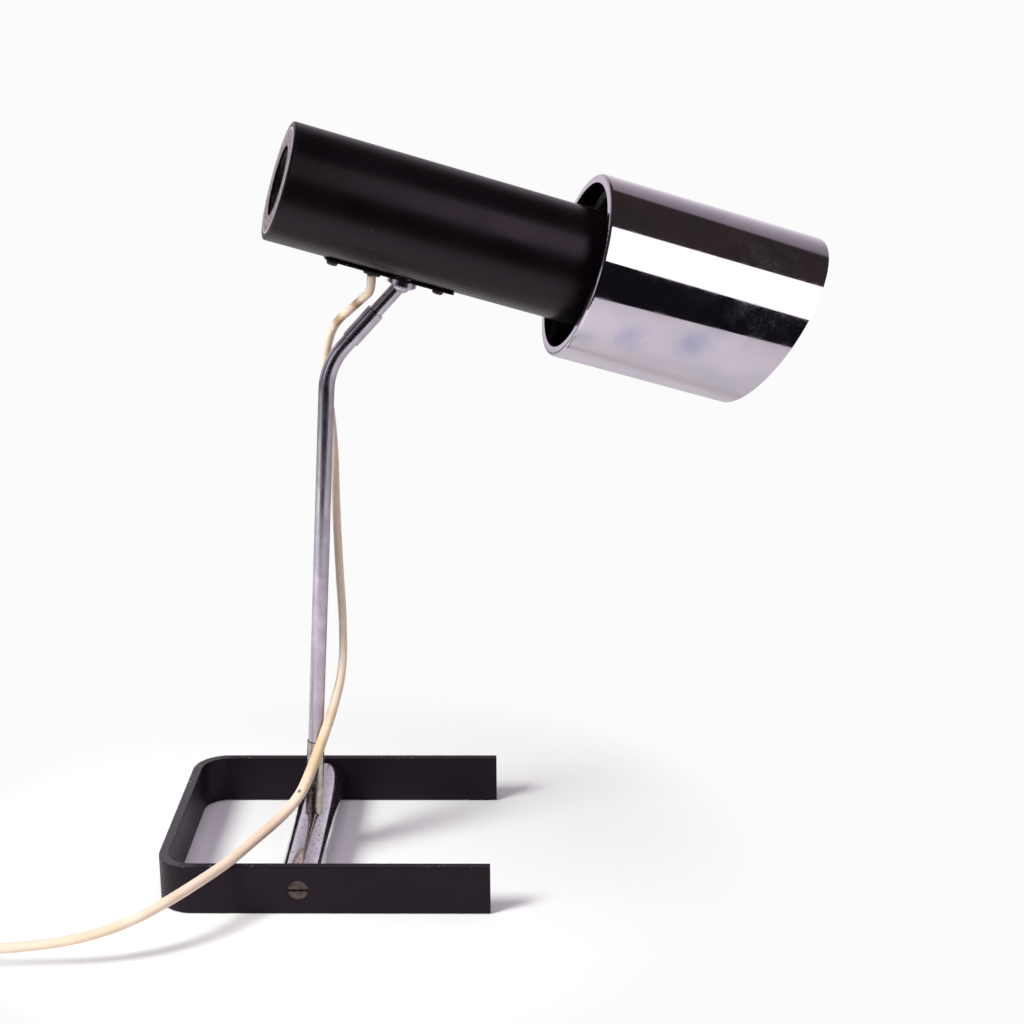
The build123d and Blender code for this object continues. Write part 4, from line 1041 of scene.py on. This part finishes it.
@dataclass(frozen=True)
class Viewpoint:
    """The photograph's camera.

    Attributes:
        place: Camera position.
        right: Direction of the picture's right.
        down: Direction of the picture's bottom.
        forward: Direction of view.
        focal_share: Focal length as a share of the picture's width.
        sensor_mm: Width of the camera's sensor.
        clip: Nearest and furthest distance that it sees.
    """

    place: Point = (0.19396, -0.96779, 0.48205)
    right: Point = (0.9998, 0.0160, -0.0068)
    down: Point = (-0.0018, -0.2896, -0.9571)
    forward: Point = (-0.0173, 0.9570, -0.2895)
    focal_share: float = 2000 / 1024
    sensor_mm: float = 36.0
    clip: tuple[float, float] = (0.02, 50.0)

    def build(self) -> None:
        """Make the camera and use it."""
        data = bpy.data.cameras.new("viewpoint")
        data.sensor_width = self.sensor_mm
        data.lens = self.focal_share * self.sensor_mm
        data.clip_start, data.clip_end = self.clip
        camera = bpy.data.objects.new("viewpoint", data)
        turn = Matrix([self.right, -Vector(self.down), -Vector(self.forward)]).transposed()
        camera.matrix_world = Matrix.Translation(self.place) @ turn.to_4x4()
        bpy.context.scene.collection.objects.link(camera)
        bpy.context.scene.camera = camera
        log.info("camera: lens of %.1f mm", data.lens)


@dataclass(frozen=True)
class SoftLight:
    """A rectangular studio light.

    Attributes:
        name: Its name.
        place: Its middle.
        target: Where it points.
        size: Width and height.
        power: Power in watts.
        reflects: Whether polished surfaces show it.
        along: Direction that its width follows.
        tint: Red, green and blue of its light, as shares of white.
    """

    name: str
    place: Point
    target: Point
    size: tuple[float, float]
    power: float
    reflects: bool = True
    along: Point = (1.0, 0.0, 0.0)
    tint: Point = (1.0, 1.0, 1.0)

    def build(self) -> None:
        """Make the light."""
        data = bpy.data.lights.new(self.name, "AREA")
        data.shape = "RECTANGLE"
        data.size, data.size_y = self.size
        data.energy = self.power
        data.color = self.tint
        light = bpy.data.objects.new(self.name, data)
        back = (Vector(self.place) - Vector(self.target)).normalized()
        across = (Vector(self.along) - back * back.dot(Vector(self.along))).normalized()
        turn = Matrix([across, back.cross(across), back]).transposed()
        light.matrix_world = Matrix.Translation(self.place) @ turn.to_4x4()
        light.visible_camera = False
        light.visible_glossy = self.reflects
        bpy.context.scene.collection.objects.link(light)


@dataclass(frozen=True)
class Paper:
    """The floor: matt pale paper that runs into the bright backdrop away from the lamp.

    Attributes:
        reach: Lowest and highest X, then lowest and highest Y.
        points: Points along each side of its grid.
        colour: Colour of the paper.
        middle: Where the lamp stands on it.
        fade: Distances from there between which it turns into the backdrop.
    """

    reach: tuple[float, float, float, float] = (-3.0, 3.5, -0.54, 4.0)
    points: int = 9
    colour: str = "#F2F1F2"
    middle: Point = (0.085, 0.005, 0.0)
    fade: Fade = (0.130, 0.220)

    def build(self, white: str) -> None:
        """Lay the paper, with the backdrop's white."""
        low_x, high_x, low_y, high_y = self.reach
        x, y = np.meshgrid(np.linspace(low_x, high_x, self.points), np.linspace(low_y, high_y, self.points))
        floor = grid_piece("floor", np.stack([x, y, np.zeros_like(x)], axis=-1), False)
        floor.data.materials.append(self.material(white))

    def material(self, white: str) -> bpy.types.Material:
        """Diffuse paper near the lamp, and far from it the backdrop's even white."""
        made, tree = node_material("pale_paper")
        place = add_node(tree, "ShaderNodeTexCoord").outputs["Object"]
        far = near_point(tree, place, self.middle, *self.fade)
        seen = add_node(tree, "ShaderNodeLightPath").outputs["Is Camera Ray"]
        paper = add_node(tree, "ShaderNodeBsdfDiffuse", {"Color": linear(self.colour)}).outputs["BSDF"]
        bright = add_node(tree, "ShaderNodeEmission", {"Color": linear(white)}).outputs["Emission"]
        surface = add_node(
            tree, "ShaderNodeMixShader", {"Fac": product(tree, far, seen), 1: paper, 2: bright}
        ).outputs["Shader"]
        add_node(tree, "ShaderNodeOutputMaterial", {"Surface": surface})
        return made


@dataclass(frozen=True)
class Room:
    """What polished metal reflects: a dim room, a pale drape behind the lamp and a grey wall on its left.

    Each fade is of the X, Y or Z part of the direction from the lamp.

    Attributes:
        walls: Colour of the walls.
        ceiling: Colour of the ceiling.
        ceiling_rise: Z fade of the ceiling.
        drape: Colour of the drape at the floor.
        drape_top: Colour of the drape at its top.
        drape_rise: Z fade from one to the other.
        drape_turn: Y fade of the drape.
        drape_edge: Z fade of its upper edge.
        left_wall: Colour of the left wall.
        left_turn: X fade of the left wall.
        left_edge: Z fade of its upper edge.
    """

    walls: str = "#17161A"
    ceiling: str = "#3B3432"
    ceiling_rise: Fade = (0.45, 0.70)
    drape: str = "#EEE7F0"
    drape_top: str = "#91878F"
    drape_rise: Fade = (0.1, 0.69)
    drape_turn: Fade = (0.0, 0.15)
    drape_edge: Fade = (0.69, 0.66)
    left_wall: str = "#69666C"
    left_turn: Fade = (-0.35, -0.60)
    left_edge: Fade = (0.60, 0.45)

    def build(self, white: str) -> None:
        """Make the world: the backdrop's white for the camera, and the room for everything else."""
        world = bpy.data.worlds.new("studio")
        bpy.context.scene.world = world
        world.use_nodes = True
        tree = world.node_tree
        tree.nodes.clear()
        heading = add_node(tree, "ShaderNodeTexCoord").outputs["Generated"]
        parts = add_node(tree, "ShaderNodeSeparateXYZ", {"Vector": heading}).outputs
        rise = share_between(tree, parts["Z"], *self.ceiling_rise)
        dim = blend_colour(tree, rise, self.walls, self.ceiling)
        left = both_fades(tree, parts["X"], self.left_turn, parts["Z"], self.left_edge)
        dim = blend_colour(tree, left, dim, self.left_wall)
        rise = share_between(tree, parts["Z"], *self.drape_rise)
        drape = blend_colour(tree, rise, self.drape, self.drape_top)
        behind = both_fades(tree, parts["Y"], self.drape_turn, parts["Z"], self.drape_edge)
        room = blend_colour(tree, behind, dim, drape)
        seen = add_node(tree, "ShaderNodeLightPath").outputs["Is Camera Ray"]
        background = add_node(
            tree, "ShaderNodeBackground", {"Color": blend_colour(tree, seen, room, white), "Strength": 1.0}
        ).outputs["Background"]
        add_node(tree, "ShaderNodeOutputWorld", {"Surface": background})


@dataclass(frozen=True)
class Studio:
    """Plain pale floor, pale backdrop and soft lights.

    Attributes:
        paper: The floor.
        room: The surroundings.
        white: White of the backdrop and of the far paper as the camera sees them.
        lights: The soft lights.
    """

    paper: Paper
    room: Room
    white: str = "#FBFBFB"
    lights: tuple[SoftLight, ...] = (
        SoftLight(
            "overhead", (0.10, -0.14, 1.30), (0.10, 0.02, 0.0), (0.8, 0.8), 5.0, reflects=False,
            tint=(1.0, 0.85, 1.10),
        ),
        SoftLight(
            "key", (-0.70, -0.56, 0.96), (0.08, 0.0, 0.03), (0.42, 0.42), 18.8, reflects=False,
            tint=(1.0, 1.06, 0.96),
        ),
        SoftLight("left_panel", (-0.85, -0.60, 0.45), (0.08, 0.0, 0.20), (0.5, 0.6), 0.75),
        SoftLight(
            "front_softbox", (0.945, -0.700, 0.925), (0.25, 0.03, 0.30), (0.55, 0.90), 3.4,
            along=(0.9308, 0.2029, -0.3040),
        ),
    )

    def build(self) -> None:
        """Lay the floor, place the lights and make the surroundings."""
        self.paper.build(self.white)
        for light in self.lights:
            light.build()
            log.info("%s: %.2f W", light.name, light.power)
        self.room.build(self.white)
        bpy.context.scene.view_settings.view_transform = "Standard"


def dress_nodes() -> None:
    """Give each CAD node that shows its finish."""
    for finish, nodes in NODE_FINISHES.items():
        for node in nodes:
            finish.dress(frame["nodes"][node])
            log.info("%s wears %s", node, finish.value.name)


def main() -> None:
    """Build everything in order."""
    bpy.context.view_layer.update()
    Viewpoint().build()
    Wiring(FlatCord(), StrainRelief(), Coil()).build()
    dress_nodes()
    Studio(Paper(), Room()).build()


if __name__ == "__main__":
    main()
